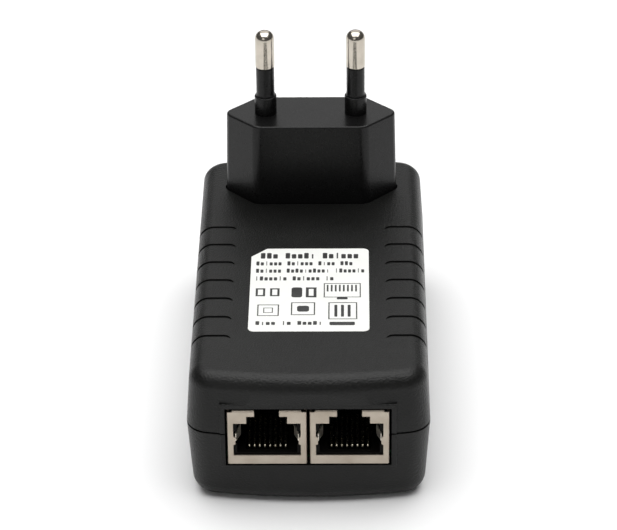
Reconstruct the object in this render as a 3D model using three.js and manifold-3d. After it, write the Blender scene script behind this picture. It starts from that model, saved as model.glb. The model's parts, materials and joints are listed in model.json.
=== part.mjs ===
// Power-over-Ethernet injector: a wall-plug power adapter with two shielded network jacks.
// Millimetres. +X right, +Y from the jack face to the rear, +Z up; the case rests on Z = 0.
import * as THREE from 'three';
import { mergeVertices } from 'three/addons/utils/BufferGeometryUtils.js';
import Module from 'manifold-3d';

const wasm = await Module();
wasm.setup();

// ---------------------------------------------------------------- driving sizes

// Case: two drafted shells that meet at a seam, with bowed ends in plan.
const CASE_LENGTH = 91.7;
const CASE_WIDTH = 47.9;
const BASE_HEIGHT = 16.5;
const COVER_HEIGHT = 12.6;
const CASE_WALL = 2;
const CASE_DRAFT = THREE.MathUtils.degToRad(3.8);
const END_BOW_RADIUS = 120;
const CORNER_RADIUS = 5;
const TOP_EDGE_RADIUS = 3;
const BOTTOM_EDGE_RADIUS = 3.5;
const SEAM_GAP = 0.3;
const LIP_HEIGHT = 1.8;
const LIP_THICKNESS = 1;
const FIT = 0.3; // clearance between pieces that rest on or pass through each other

// Finger grips cut round the upper side edges.
const GRIP_COUNT = 7;
const GRIP_PITCH = 7.055;
const GRIP_REAR_OFFSET = 32.26; // rearmost grip, forward of the rear of the case
const GRIP_INNER_X = 15.4;
const GRIP_WIDTH = 1.1;
const GRIP_DEPTH = 0.45;
const GRIP_DROP = 4;

// Rating label.
const LABEL_WIDTH = 24.1;
const LABEL_LENGTH = 32;
const LABEL_THICKNESS = 0.2;
const LABEL_FRONT_OFFSET = 18.7; // front edge of the label, behind the front of the case
const LABEL_CUT = 3.2;
const LABEL_GAP = 0.3; // pocket in the cover, all round and above the label
const LABEL_LIFT = 0.05;

// European two-pin plug.
const PLUG_WIDTH = 35.3;
const PLUG_DEPTH = 13.7;
const PLUG_FLAT = 22.8;
const PLUG_HEIGHT = 18.1;
const PLUG_REAR_GAP = 8.2; // rear face of the plug, forward of the rear of the case
const PLUG_DRAFT = THREE.MathUtils.degToRad(1.15);
const PLUG_WALL = 1.8;
const PLUG_ROOF = 3;
const PLUG_FLANGE = 1.2;
const PIN_SPACING = 18.9;
const PIN_RADIUS = 2;
const PIN_LENGTH = 19;
const PIN_CORE_RADIUS = 1.4;
const PIN_INSIDE = 6; // how far a pin reaches below the outside of the cover
const SLEEVE_END = 10.9;
const SLEEVE_RADIUS = 1.9;
const SLEEVE_CLEARANCE = 0.15;
const COLLAR_RADIUS = 2.3;
const COLLAR_HEIGHT = 4.1;
const TOWER_RADIUS = 3.4;
const LEAD_RADIUS = 0.8;

// Network jacks, measured from the middle of the front face's lower edge.
const JACK_WIDTH = 15.6;
const JACK_HEIGHT = 12.38;
const JACK_DEPTH = 21;
const JACK_GAP = 0.55; // between the two jacks
const JACK_BOTTOM = 9.6; // above the table
const JACK_FACE_OFFSET = 1.05; // jack face behind the foremost point of the case
const SHIELD_WALL = 0.35;
const MOUTH_SIDE = 1.2; // face left on each side of the opening
const MOUTH_BOTTOM = 1.95;
const MOUTH_TOP = 9.42;
const STEP_WIDTH = 8;
const STEP_TOP = 11.03;
const NOTCH_WIDTH = 4.9;
const MOUTH_TAB = 0.4;
const CAVITY_STEP = 0.7; // insert showing inside each side of the opening
const CAVITY_DEPTH = 14.5;
const CONTACT_COUNT = 8;
const CONTACT_PITCH = 1.02;
const CONTACT_WIDTH = 0.45;
const CONTACT_THICKNESS = 0.32;
const SPRING_THICKNESS = 0.25;
const SPRING_LOW = 4.4;
const SPRING_HIGH = 7;
const SPRING_ROOT_INSET = 1.45; // the spring's fixed edge, bow and free end, in from the jack's side
const SPRING_BOW_INSET = 2.7;
const SPRING_TIP_INSET = 1.6;

// Flat pad that frames the two jacks.
const PAD_SIDE = 1.43;
const PAD_ABOVE = 1.4;
const PAD_BELOW = 0.8;
const APERTURE_GAP = 0.4;

// Circuit board.
const BOARD_THICKNESS = 1.6;
const BOARD_EDGE_GAP = 0.9;
const BOARD_FRONT_GAP = 3.2; // behind the jack faces
const BOARD_REAR_GAP = 1.6; // straight rear edge, inside the bowed rear wall
const LEG_SIZE = 0.8;
const PEG_RADIUS = 1;
const POST_RADIUS = 1.9;

// ---------------------------------------------------------------- derived places

const CASE_HEIGHT = BASE_HEIGHT + COVER_HEIGHT;
const FRONT_Y = -CASE_LENGTH / 2;
const REAR_Y = CASE_LENGTH / 2;
const CEILING = CASE_HEIGHT - CASE_WALL;
const PLUG_Y = REAR_Y - PLUG_REAR_GAP - PLUG_DEPTH / 2;
const PLUG_TOP = CASE_HEIGHT + PLUG_HEIGHT;
const JACK_FACE_Y = FRONT_Y + JACK_FACE_OFFSET;
const JACK_PITCH = JACK_WIDTH + JACK_GAP;
const PAD_WIDTH = JACK_PITCH + JACK_WIDTH + 2 * PAD_SIDE;
const MOUTH_WIDTH = JACK_WIDTH - 2 * MOUTH_SIDE;
const CAVITY_WIDTH = MOUTH_WIDTH - 2 * CAVITY_STEP;
const JACK_REAR_Y = JACK_FACE_Y + JACK_DEPTH;
const BOARD_TOP = JACK_BOTTOM - FIT;
const BOARD_BOTTOM = BOARD_TOP - BOARD_THICKNESS;
const MIDDLE_Y = (JACK_REAR_Y + PLUG_Y) / 2;
const LABEL_FLOOR = CASE_HEIGHT - LABEL_GAP;

// ---------------------------------------------------------------- geometry helpers

function toSolid(geometry) {
  const bare = geometry.clone();
  bare.deleteAttribute('normal');
  bare.deleteAttribute('uv');
  const merged = mergeVertices(bare, 1e-4);
  return new wasm.Manifold(new wasm.Mesh({
    numProp: 3,
    vertProperties: new Float32Array(merged.attributes.position.array),
    triVerts: new Uint32Array(merged.index.array),
  }));
}

function toGeometry(solid) {
  const mesh = solid.getMesh();
  const geometry = new THREE.BufferGeometry();
  geometry.setAttribute('position', new THREE.BufferAttribute(mesh.vertProperties, 3));
  geometry.setIndex(new THREE.BufferAttribute(mesh.triVerts, 1));
  geometry.computeVertexNormals();
  return geometry;
}

function join(first, ...others) {
  return others.reduce((whole, piece) => whole.add(piece), first);
}

function box([x0, x1], [y0, y1], [z0, z1]) {
  const geometry = new THREE.BoxGeometry(x1 - x0, y1 - y0, z1 - z0);
  geometry.translate((x0 + x1) / 2, (y0 + y1) / 2, (z0 + z1) / 2);
  return toSolid(geometry);
}

function around(centre, size) {
  return [centre - size / 2, centre + size / 2];
}

// Round bar along Z.
function rod(radius, [z0, z1], [x, y] = [0, 0], sides = 12) {
  const geometry = new THREE.CylinderGeometry(radius, radius, z1 - z0, sides);
  geometry.rotateX(Math.PI / 2);
  geometry.translate(x, y, (z0 + z1) / 2);
  return toSolid(geometry);
}

// Solid of revolution about Z, from [radius, z] points that start and end on the axis.
function turned(profile, sides = 16) {
  const geometry = new THREE.LatheGeometry(profile.map(([r, z]) => new THREE.Vector2(r, z)), sides);
  geometry.rotateX(Math.PI / 2);
  return toSolid(geometry);
}

function polygon(points) {
  return new THREE.Shape(points.map(([x, y]) => new THREE.Vector2(x, y)));
}

// Plan outline raised along Z.
function raised(shape, [z0, z1], curveSegments = 2) {
  const geometry = new THREE.ExtrudeGeometry(shape, { depth: z1 - z0, bevelEnabled: false, curveSegments });
  geometry.translate(0, 0, z0);
  return toSolid(geometry);
}

// Side outline in Y and Z, carried along X.
function sideways(shape, [x0, x1]) {
  const geometry = new THREE.ExtrudeGeometry(shape, { depth: x1 - x0, bevelEnabled: false });
  geometry.applyMatrix4(new THREE.Matrix4().makeBasis(
    new THREE.Vector3(0, 1, 0), new THREE.Vector3(0, 0, 1), new THREE.Vector3(1, 0, 0)));
  geometry.translate(x0, 0, 0);
  return toSolid(geometry);
}

// Front outline in X and Z, carried from y0 back to y1.
function backward(shape, [y0, y1]) {
  const geometry = new THREE.ExtrudeGeometry(shape, { depth: y1 - y0, bevelEnabled: false });
  geometry.rotateX(Math.PI / 2);
  geometry.translate(0, y1, 0);
  return toSolid(geometry);
}

// Moulded block with softened upright edges and a small chamfer at both ends.
function moulded(width, depth, [z0, z1], chamfer = 0.4) {
  const shape = roundedRectangle(width, depth, 2 * chamfer);
  const geometry = new THREE.ExtrudeGeometry(shape, {
    depth: z1 - z0 - 2 * chamfer,
    bevelThickness: chamfer,
    bevelSize: chamfer,
    bevelOffset: -chamfer,
    bevelSegments: 1,
    curveSegments: 1,
  });
  geometry.translate(0, 0, z0 + chamfer);
  return toSolid(geometry);
}

function roundedRectangle(width, depth, radius) {
  const x = width / 2 - radius;
  const y = depth / 2 - radius;
  const shape = new THREE.Shape();
  shape.absarc(x, -y, radius, -Math.PI / 2, 0, false);
  shape.absarc(x, y, radius, 0, Math.PI / 2, false);
  shape.absarc(-x, y, radius, Math.PI / 2, Math.PI, false);
  shape.absarc(-x, -y, radius, Math.PI, 1.5 * Math.PI, false);
  return shape;
}

// ---------------------------------------------------------------- scene

const injector = new THREE.Group();
const boardHoles = [];

const finishes = {
  caseBlack: { color: 0x1b1c1b, roughness: 0.38, metalness: 0 },
  plugBlack: { color: 0x161716, roughness: 0.3, metalness: 0 },
  label: { color: 0xdcddd8, roughness: 0.5, metalness: 0 },
  nickel: { color: 0xc9c6be, roughness: 0.22, metalness: 1 },
  tin: { color: 0xa89c8c, roughness: 0.4, metalness: 1 },
  gold: { color: 0xd9c08a, roughness: 0.25, metalness: 1 },
  jackBlack: { color: 0x0b0b0b, roughness: 0.45, metalness: 0 },
  board: { color: 0x1f5a34, roughness: 0.5, metalness: 0 },
  leadBrown: { color: 0x5b3822, roughness: 0.5, metalness: 0 },
  leadBlue: { color: 0x274b86, roughness: 0.5, metalness: 0 },
  canBlack: { color: 0x20242c, roughness: 0.35, metalness: 0 },
  filmYellow: { color: 0xc9a23a, roughness: 0.5, metalness: 0 },
  ferrite: { color: 0x33312f, roughness: 0.7, metalness: 0 },
  tapeYellow: { color: 0xd0b23c, roughness: 0.45, metalness: 0 },
  epoxyBlack: { color: 0x151515, roughness: 0.55, metalness: 0 },
  ceramicBlue: { color: 0x2c5f93, roughness: 0.4, metalness: 0 },
  aluminium: { color: 0xb4b6b8, roughness: 0.45, metalness: 1 },
  steel: { color: 0x8f9194, roughness: 0.4, metalness: 1 },
};

function addMesh(name, finish, solid, group = injector) {
  const mesh = new THREE.Mesh(toGeometry(solid), new THREE.MeshStandardMaterial(finishes[finish]));
  mesh.name = name;
  group.add(mesh);
  return mesh;
}

// ---------------------------------------------------------------- case shells

// Plan of the case at the seam: straight sides, bowed ends, corners tangent to both.
function caseOutline(inset) {
  const corner = Math.max(CORNER_RADIUS - inset, 0.5);
  const bow = END_BOW_RADIUS - inset;
  const cornerX = CASE_WIDTH / 2 - inset - corner;
  const bowCentreY = CASE_LENGTH / 2 - END_BOW_RADIUS;
  const cornerY = bowCentreY + Math.sqrt((bow - corner) ** 2 - cornerX ** 2);
  const swing = Math.asin(cornerX / (bow - corner));
  const up = Math.PI / 2;
  const shape = new THREE.Shape();
  shape.absarc(0, -bowCentreY, bow, -up - swing, -up + swing, false);
  shape.absarc(cornerX, -cornerY, corner, -up + swing, 0, false);
  shape.absarc(cornerX, cornerY, corner, 0, up - swing, false);
  shape.absarc(0, bowCentreY, bow, up - swing, up + swing, false);
  shape.absarc(-cornerX, cornerY, corner, up + swing, 2 * up, false);
  shape.absarc(-cornerX, -cornerY, corner, 2 * up, 3 * up - swing, false);
  return shape;
}

// One drafted half of the case, from its seam at Z = 0 to a rounded edge at Z = height.
function draftedHalf(height, edgeRadius, inset, start) {
  const edge = Math.max(edgeRadius - inset, 0.4);
  const top = height - inset;
  const geometry = new THREE.ExtrudeGeometry(caseOutline(inset), {
    depth: top,
    bevelThickness: edge,
    bevelSize: edge,
    bevelOffset: -edge,
    bevelSegments: 2,
    curveSegments: 2,
  });
  geometry.translate(0, 0, -edge);
  const place = geometry.attributes.position;
  for (let i = 0; i < place.count; i += 1) {
    const drift = 2 * Math.tan(CASE_DRAFT) * place.getZ(i);
    place.setX(i, place.getX(i) * (1 - drift / CASE_WIDTH));
    place.setY(i, place.getY(i) * (1 - drift / CASE_LENGTH));
  }
  const reach = CASE_LENGTH;
  return toSolid(geometry).intersect(box([-reach, reach], [-reach, reach], [start, height + 1]));
}

function coverHalf(inset, start = -1) {
  return draftedHalf(COVER_HEIGHT, TOP_EDGE_RADIUS, inset, start).translate([0, 0, BASE_HEIGHT]);
}

function baseHalf(inset, start = -1) {
  const half = draftedHalf(BASE_HEIGHT, BOTTOM_EDGE_RADIUS, inset, start);
  return half.rotate([180, 0, 0]).translate([0, 0, BASE_HEIGHT]);
}

// The opening for both jacks, through either shell.
function jackAperture() {
  const width = JACK_PITCH + JACK_WIDTH + 2 * APERTURE_GAP;
  return box(
    around(0, width),
    [FRONT_Y - 1, JACK_REAR_Y],
    [JACK_BOTTOM - APERTURE_GAP, JACK_BOTTOM + JACK_HEIGHT + APERTURE_GAP]);
}

// Flattens the bowed front wall round the jacks: cut back to the pad, then filled up to it.
function withPad(shell, [z0, z1]) {
  const reach = CASE_WALL + JACK_FACE_OFFSET;
  const recess = box(around(0, PAD_WIDTH), [FRONT_Y - 1, JACK_FACE_Y], [z0, z1]);
  const pad = box(around(0, PAD_WIDTH), [JACK_FACE_Y, FRONT_Y + reach], [z0, z1]);
  return shell.subtract(recess).add(pad).subtract(jackAperture());
}

// Slots that follow the case surface at the depth of the grips.
function gripCuts() {
  const slots = [];
  const low = CASE_HEIGHT - GRIP_DROP;
  for (const side of [-1, 1]) {
    for (let i = 0; i < GRIP_COUNT; i += 1) {
      const y = around(REAR_Y - GRIP_REAR_OFFSET - i * GRIP_PITCH, GRIP_WIDTH);
      const x = [side * GRIP_INNER_X, side * CASE_WIDTH].sort((a, b) => a - b);
      slots.push(box(x, y, [low, CASE_HEIGHT + 1]));
    }
  }
  return join(...slots).subtract(coverHalf(GRIP_DEPTH));
}

const postPlaces = [-1, 1].flatMap((side) => [
  [side * (CASE_WIDTH / 2 - 6.3), JACK_REAR_Y + 2.9],
  [side * (CASE_WIDTH / 2 - 5.3), PLUG_Y - 11.4],
]);

function upperCover() {
  const start = SEAM_GAP / 2;
  const shell = coverHalf(0, start).subtract(coverHalf(CASE_WALL));
  const padTop = JACK_BOTTOM + JACK_HEIGHT + PAD_ABOVE;
  const plugHole = plugPrism([CEILING - 1, CASE_HEIGHT + 1], -FIT);
  const postFoot = BOARD_TOP + PEG_RADIUS + 2 * FIT;
  const posts = postPlaces.map((at) => rod(POST_RADIUS, [postFoot, CEILING + 0.5], at, 8));
  const walls = join(withPad(shell, [BASE_HEIGHT + start, padTop]), ...posts);
  const labelPocket = labelPlate(LABEL_GAP, [LABEL_FLOOR, CASE_HEIGHT + 1]);
  return walls.subtract(join(plugHole, gripCuts(), labelPocket));
}

// Label outline with its rear left corner cut off, grown all round.
function labelPlate(grow, z) {
  const x = LABEL_WIDTH / 2 + grow;
  const front = FRONT_Y + LABEL_FRONT_OFFSET - grow;
  const rear = FRONT_Y + LABEL_FRONT_OFFSET + LABEL_LENGTH + grow;
  const outline = polygon([
    [-x, front], [x, front], [x, rear], [-x + LABEL_CUT, rear], [-x, rear - LABEL_CUT],
  ]);
  return raised(outline, z);
}

// Lip inside the seam that locates the cover, carried by a ledge on the base wall.
function seamLip() {
  const outer = CASE_WALL + FIT;
  const inner = outer + LIP_THICKNESS;
  const rim = raised(caseOutline(outer), [BASE_HEIGHT - 3, BASE_HEIGHT + LIP_HEIGHT]);
  const ledge = raised(caseOutline(CASE_WALL - 0.8), [BASE_HEIGHT - 3, BASE_HEIGHT - 1]);
  const inside = raised(caseOutline(inner), [BASE_HEIGHT - 4, BASE_HEIGHT + LIP_HEIGHT + 1]);
  return join(rim, ledge).subtract(inside);
}

function lowerBase() {
  const start = SEAM_GAP / 2;
  const shell = baseHalf(0, start).subtract(baseHalf(CASE_WALL));
  const bossTop = BOARD_BOTTOM - FIT;
  const bosses = postPlaces.map((at) => rod(POST_RADIUS + 0.5, [CASE_WALL - 0.5, bossTop], at, 8));
  const pegs = postPlaces.map((at) => rod(PEG_RADIUS, [CASE_WALL, BOARD_TOP + PEG_RADIUS], at, 8));
  const lip = seamLip().subtract(jackAperture());
  const walls = withPad(shell, [JACK_BOTTOM - PAD_BELOW, BASE_HEIGHT - start]);
  return join(walls, lip, ...bosses, ...pegs);
}

addMesh('upper_cover', 'caseBlack', upperCover());
addMesh('lower_base', 'caseBlack', lowerBase());

const labelFoot = LABEL_FLOOR + LABEL_LIFT;
addMesh('rating_label', 'label', labelPlate(0, [labelFoot, labelFoot + LABEL_THICKNESS]));

// ---------------------------------------------------------------- plug

// Six-sided plug body. It widens towards the foot by its draft; inset shrinks it all round.
function plugPrism([z0, z1], inset) {
  const x = PLUG_WIDTH / 2 - inset;
  const flat = PLUG_FLAT / 2 - inset * 0.5;
  const y = PLUG_DEPTH / 2 - inset;
  const nose = 0.8;
  const outline = polygon([
    [-flat, -y], [flat, -y], [x, -nose], [x, nose], [flat, y], [-flat, y], [-x, nose], [-x, -nose],
  ]);
  const geometry = new THREE.ExtrudeGeometry(outline, { depth: z1 - z0, bevelEnabled: false });
  geometry.translate(0, 0, z0);
  const place = geometry.attributes.position;
  for (let i = 0; i < place.count; i += 1) {
    const spread = Math.tan(PLUG_DRAFT) * (PLUG_TOP - place.getZ(i));
    place.setX(i, place.getX(i) * (1 + spread / x));
    place.setY(i, place.getY(i) * (1 + spread / y));
  }
  geometry.translate(0, PLUG_Y, 0);
  return toSolid(geometry);
}

const pinPlaces = [-1, 1].map((side) => [side * PIN_SPACING / 2, PLUG_Y]);

function plugBlock() {
  const flangeTop = CEILING - FIT;
  const foot = flangeTop - PLUG_FLANGE;
  const body = plugPrism([foot, PLUG_TOP], 0);
  const flange = plugPrism([foot, flangeTop], -PLUG_FLANGE);
  const hollow = plugPrism([foot - 1, PLUG_TOP - PLUG_ROOF], PLUG_WALL);
  const towers = pinPlaces.map((at) => rod(TOWER_RADIUS, [foot, PLUG_TOP - 1], at));
  const collarTop = PLUG_TOP + COLLAR_HEIGHT;
  const collars = pinPlaces.map((at) => rod(COLLAR_RADIUS, [PLUG_TOP - 1, collarTop], at, 16));
  const bore = PIN_CORE_RADIUS + SLEEVE_CLEARANCE;
  const bores = pinPlaces.map((at) => rod(bore, [foot - 1, collarTop + 1], at, 16));
  return join(body.add(flange).subtract(hollow), ...towers, ...collars).subtract(join(...bores));
}

// Round-tipped pin with a thinner core that the sleeve and the plug body hold.
function pin() {
  const shoulder = PLUG_TOP + SLEEVE_END;
  const domeFoot = PLUG_TOP + PIN_LENGTH - PIN_RADIUS;
  const dome = [1, 2, 3].map((step) => {
    const angle = step * Math.PI / 8;
    return [PIN_RADIUS * Math.cos(angle), domeFoot + PIN_RADIUS * Math.sin(angle)];
  });
  return turned([
    [0, CASE_HEIGHT - PIN_INSIDE],
    [PIN_CORE_RADIUS, CASE_HEIGHT - PIN_INSIDE],
    [PIN_CORE_RADIUS, shoulder],
    [PIN_RADIUS, shoulder],
    [PIN_RADIUS, domeFoot],
    ...dome,
    [0, PLUG_TOP + PIN_LENGTH],
  ]);
}

function pinSleeve() {
  const ends = [PLUG_TOP + COLLAR_HEIGHT + SLEEVE_CLEARANCE, PLUG_TOP + SLEEVE_END - SLEEVE_CLEARANCE];
  const bore = rod(PIN_CORE_RADIUS + SLEEVE_CLEARANCE, [ends[0] - 1, ends[1] + 1], [0, 0], 16);
  return rod(SLEEVE_RADIUS, ends, [0, 0], 16).subtract(bore);
}

// Insulated wire from the inner end of a pin down through the board.
function mainsLead(side) {
  const top = CASE_HEIGHT - PIN_INSIDE - FIT;
  const boardX = PIN_SPACING / 2 + 3.6;
  const route = new THREE.CatmullRomCurve3([
    new THREE.Vector3(side * PIN_SPACING / 2, PLUG_Y, top),
    new THREE.Vector3(side * PIN_SPACING / 2, PLUG_Y + 0.4, top - 3),
    new THREE.Vector3(side * boardX, PLUG_Y + 4.6, BOARD_TOP + 4),
    new THREE.Vector3(side * boardX, PLUG_Y + 5, BOARD_BOTTOM - 0.6),
  ]);
  const section = new THREE.Shape().absarc(0, 0, LEAD_RADIUS, 0, 2 * Math.PI, false);
  const geometry = new THREE.ExtrudeGeometry(section, { steps: 10, extrudePath: route, curveSegments: 4 });
  boardHoles.push([side * boardX, PLUG_Y + 5, 2 * (LEAD_RADIUS + FIT)]);
  return toSolid(geometry);
}

addMesh('plug_block', 'plugBlack', plugBlock());
for (const [label, side, finish] of [['left', -1, 'leadBrown'], ['right', 1, 'leadBlue']]) {
  addMesh(`pin_${label}`, 'nickel', pin()).position.set(side * PIN_SPACING / 2, PLUG_Y, 0);
  addMesh(`pin_sleeve_${label}`, 'plugBlack', pinSleeve()).position.set(side * PIN_SPACING / 2, PLUG_Y, 0);
  addMesh(`mains_lead_${label}`, finish, mainsLead(side));
}

// ---------------------------------------------------------------- network jacks

// Stepped opening of the shield face, with a small tab in each side.
function mouthOutline() {
  const mouth = MOUTH_WIDTH / 2;
  const tab = mouth - MOUTH_TAB;
  const middle = (MOUTH_BOTTOM + MOUTH_TOP) / 2;
  const right = [
    [mouth, MOUTH_BOTTOM],
    [mouth, middle - 0.6], [tab, middle - 0.6], [tab, middle + 0.6], [mouth, middle + 0.6],
    [mouth, MOUTH_TOP], [STEP_WIDTH / 2, MOUTH_TOP],
    [STEP_WIDTH / 2, STEP_TOP], [NOTCH_WIDTH / 2, STEP_TOP],
    [NOTCH_WIDTH / 2, JACK_HEIGHT + 1],
  ];
  const left = right.map(([x, z]) => [-x, z]).reverse();
  return polygon([...right, ...left]);
}

// Folded shield: face, top, sides and rear, open underneath.
function jackShield() {
  const outside = box(around(0, JACK_WIDTH), [0, JACK_DEPTH], [0, JACK_HEIGHT]);
  const inside = box(
    around(0, JACK_WIDTH - 2 * SHIELD_WALL),
    [SHIELD_WALL, JACK_DEPTH - SHIELD_WALL],
    [-1, JACK_HEIGHT - SHIELD_WALL]);
  return outside.subtract(join(inside, backward(mouthOutline(), [-1, SHIELD_WALL + 0.5])));
}

// Insert: plug cavity with its latch step, side slots for the springs, a well for the contacts.
function jackHousing() {
  const skin = SHIELD_WALL + 0.15;
  const front = SHIELD_WALL + 0.15;
  const roof = JACK_HEIGHT - skin;
  const body = box(around(0, JACK_WIDTH - 2 * skin), [front, JACK_DEPTH - skin], [0, roof]);
  const half = CAVITY_WIDTH / 2;
  const cavity = box([-half, half], [front - 1, CAVITY_DEPTH], [MOUTH_BOTTOM + 0.35, MOUTH_TOP - 0.1]);
  const latch = box(
    around(0, STEP_WIDTH - 0.4), [front - 1, CAVITY_DEPTH - 1.5], [MOUTH_TOP - 1, STEP_TOP - 0.1]);
  const notch = box(around(0, NOTCH_WIDTH - 0.3), [front - 1, front + 3], [STEP_TOP - 1, roof + 1]);
  const slots = box(around(0, JACK_WIDTH), [front - 1, 9.6], [SPRING_LOW - 0.3, SPRING_HIGH + 0.3]);
  const well = box(around(0, CONTACT_COUNT * CONTACT_PITCH + 0.4), [1.7, 8], [1.1, MOUTH_BOTTOM + 1]);
  return body.subtract(join(cavity, latch, notch, slots, well));
}

// Sprung wire, side view in Y and Z: free end at the rear, front bend, short return.
function contactWire() {
  const t = CONTACT_THICKNESS;
  const outside = [
    [10.6, 4.45], [3.1, 2.72], [2.55, 2.6], [2.3, 2.25], [2.4, 1.85], [2.8, 1.6], [4.6, 1.6],
  ];
  const inside = [
    [4.6, 1.6 + t], [2.95, 1.6 + t], [2.68, 2.05], [2.72, 2.25], [3.2, 2.72 - t], [10.6, 4.45 - t],
  ];
  return sideways(polygon([...outside, ...inside]), around(0, CONTACT_WIDTH));
}

// Side tongue of the shield: fixed at the front edge, bowed into the cavity, free at the rear.
function groundSpring(side) {
  const t = SPRING_THICKNESS;
  const line = [
    [SPRING_ROOT_INSET, 0.75], [SPRING_BOW_INSET, 3.3], [SPRING_BOW_INSET, 4.8], [SPRING_TIP_INSET, 8.6],
  ];
  const outer = line.map(([inset, y]) => [side * (JACK_WIDTH / 2 - inset + t), y]);
  const inner = line.map(([inset, y]) => [side * (JACK_WIDTH / 2 - inset), y]).reverse();
  const points = side > 0 ? [...outer, ...inner] : [...outer, ...inner].reverse();
  return raised(polygon(points), [SPRING_LOW, SPRING_HIGH]);
}

function addJack(label, x) {
  const jack = new THREE.Group();
  jack.position.set(x, JACK_FACE_Y, JACK_BOTTOM);
  addMesh(`${label}_jack_shield`, 'tin', jackShield(), jack);
  addMesh(`${label}_jack_housing`, 'jackBlack', jackHousing(), jack);
  for (let i = 0; i < CONTACT_COUNT; i += 1) {
    const wire = addMesh(`${label}_contact_${i + 1}`, 'gold', contactWire(), jack);
    wire.position.x = (i - (CONTACT_COUNT - 1) / 2) * CONTACT_PITCH;
  }
  addMesh(`${label}_jack_left_spring`, 'tin', groundSpring(-1), jack);
  addMesh(`${label}_jack_right_spring`, 'tin', groundSpring(1), jack);
  injector.add(jack);
}

addJack('left', -JACK_PITCH / 2);
addJack('right', JACK_PITCH / 2);

// ---------------------------------------------------------------- power circuit

// Puts one part on the board. Its legs pass through holes that are cut when the board is made.
function addPart(name, finish, body, [x, y], legs = [], turn = 0) {
  const wires = legs.map(([lx, ly]) => box(
    around(lx, LEG_SIZE), around(ly, LEG_SIZE), [-BOARD_THICKNESS - 1, FIT + 0.6]));
  const mesh = addMesh(name, finish, join(body, ...wires));
  mesh.position.set(x, y, BOARD_TOP);
  mesh.rotation.z = turn;
  for (const [lx, ly] of legs) {
    const across = x + lx * Math.cos(turn) - ly * Math.sin(turn);
    const along = y + lx * Math.sin(turn) + ly * Math.cos(turn);
    boardHoles.push([across, along, LEG_SIZE + 2 * FIT]);
  }
}

function legRows(columns, rows) {
  return columns.flatMap((x) => rows.map((y) => [x, y]));
}

// Rolled foil in a can; the crimp rings the foot.
function canCapacitor(radius, height) {
  return turned([
    [0, FIT], [radius, FIT], [radius, 1.4], [radius - 0.4, 1.9], [radius, 2.4],
    [radius, height - 0.5], [radius - 0.5, height], [0, height],
  ]);
}

function fuseLink() {
  const axis = 2.4;
  const geometry = new THREE.LatheGeometry([
    [0, -4.5], [1.9, -4.5], [1.9, -2.8], [1.6, -2.8], [1.6, 2.8], [1.9, 2.8], [1.9, 4.5], [0, 4.5],
  ].map(([r, y]) => new THREE.Vector2(r, y)), 12);
  geometry.translate(0, 0, axis);
  const ends = [-3.7, 3.7].map((y) => box(around(0, 1), around(y, 1), [FIT, axis]));
  return join(toSolid(geometry), ...ends);
}

function toroidChoke() {
  const section = [[2.8, 0.8], [5.4, 0.8], [6, 1.6], [6, 5.6], [5.4, 6.4], [2.8, 6.4], [2.8, 0.8]];
  const foot = raised(roundedRectangle(12, 12, 3), [FIT, 1.2]);
  return join(turned(section), foot);
}

// Two E-shaped halves, drawn as the closed core that they make round the bobbin.
const CORE_WIDTH = 19;
const CORE_DEPTH = 6;
const CORE_FOOT = 2.8;
const CORE_TOP = 16.3;
const CORE_YOKE = 2.6;
const CORE_CENTRE = 5;
const CORE_OUTER = 2.5;

function transformerCore() {
  const shape = polygon([
    [-CORE_WIDTH / 2, CORE_FOOT], [CORE_WIDTH / 2, CORE_FOOT],
    [CORE_WIDTH / 2, CORE_TOP], [-CORE_WIDTH / 2, CORE_TOP],
  ]);
  const low = CORE_FOOT + CORE_YOKE;
  const high = CORE_TOP - CORE_YOKE;
  const core = backward(shape, around(0, CORE_DEPTH));
  const windows = [-1, 1].map((side) => {
    const x = [side * CORE_CENTRE / 2, side * (CORE_WIDTH / 2 - CORE_OUTER)].sort((a, b) => a - b);
    return box(x, around(0, CORE_DEPTH + 2), [low, high]);
  });
  return core.subtract(join(...windows));
}

const BOBBIN_WALL = 0.8;
const BOBBIN_REACH = CORE_WIDTH / 2 - CORE_OUTER - FIT;

function transformerBobbin() {
  const low = CORE_FOOT + CORE_YOKE + FIT;
  const high = CORE_TOP - CORE_YOKE - FIT;
  const innerX = CORE_CENTRE + 2 * FIT;
  const innerY = CORE_DEPTH + 2 * FIT;
  const tube = box(around(0, innerX + 2 * BOBBIN_WALL), around(0, innerY + 2 * BOBBIN_WALL), [low, high]);
  const flanges = [[low, low + BOBBIN_WALL], [high - BOBBIN_WALL, high]].map((z) => box(
    around(0, 2 * BOBBIN_REACH), around(0, 2 * BOBBIN_REACH), z));
  const posts = [-1, 1].map((side) => box(
    around(0, 9), around(side * (CORE_DEPTH / 2 + FIT + 0.7), 1.4), [FIT, low + 0.4]));
  const foot = box(around(0, 15), around(0, 13), [FIT, CORE_FOOT - FIT]);
  const bore = box(around(0, innerX), around(0, innerY), [low - 0.1, high + 1]);
  return join(tube, ...flanges).subtract(bore).add(join(foot, ...posts));
}

function transformerWinding() {
  const gap = BOBBIN_WALL + FIT;
  const low = CORE_FOOT + CORE_YOKE + FIT + gap;
  const high = CORE_TOP - CORE_YOKE - FIT - gap;
  const outside = raised(roundedRectangle(2 * BOBBIN_REACH - 0.2, 2 * BOBBIN_REACH - 0.2, 2), [low, high]);
  const innerX = CORE_CENTRE + 2 * FIT + 2 * gap;
  const innerY = CORE_DEPTH + 2 * FIT + 2 * gap;
  return outside.subtract(box(around(0, innerX), around(0, innerY), [low - 1, high + 1]));
}

// Upright plate with a foot; the power package in front of it is held by one screw.
const SINK_THICKNESS = 1.5;
const SCREW_RADIUS = 1.4;
const SCREW_HEIGHT = 11.8;

function crossBore(radius, y) {
  const geometry = new THREE.CylinderGeometry(radius, radius, y[1] - y[0], 12);
  geometry.translate(0, (y[0] + y[1]) / 2, SCREW_HEIGHT);
  return toSolid(geometry);
}

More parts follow.
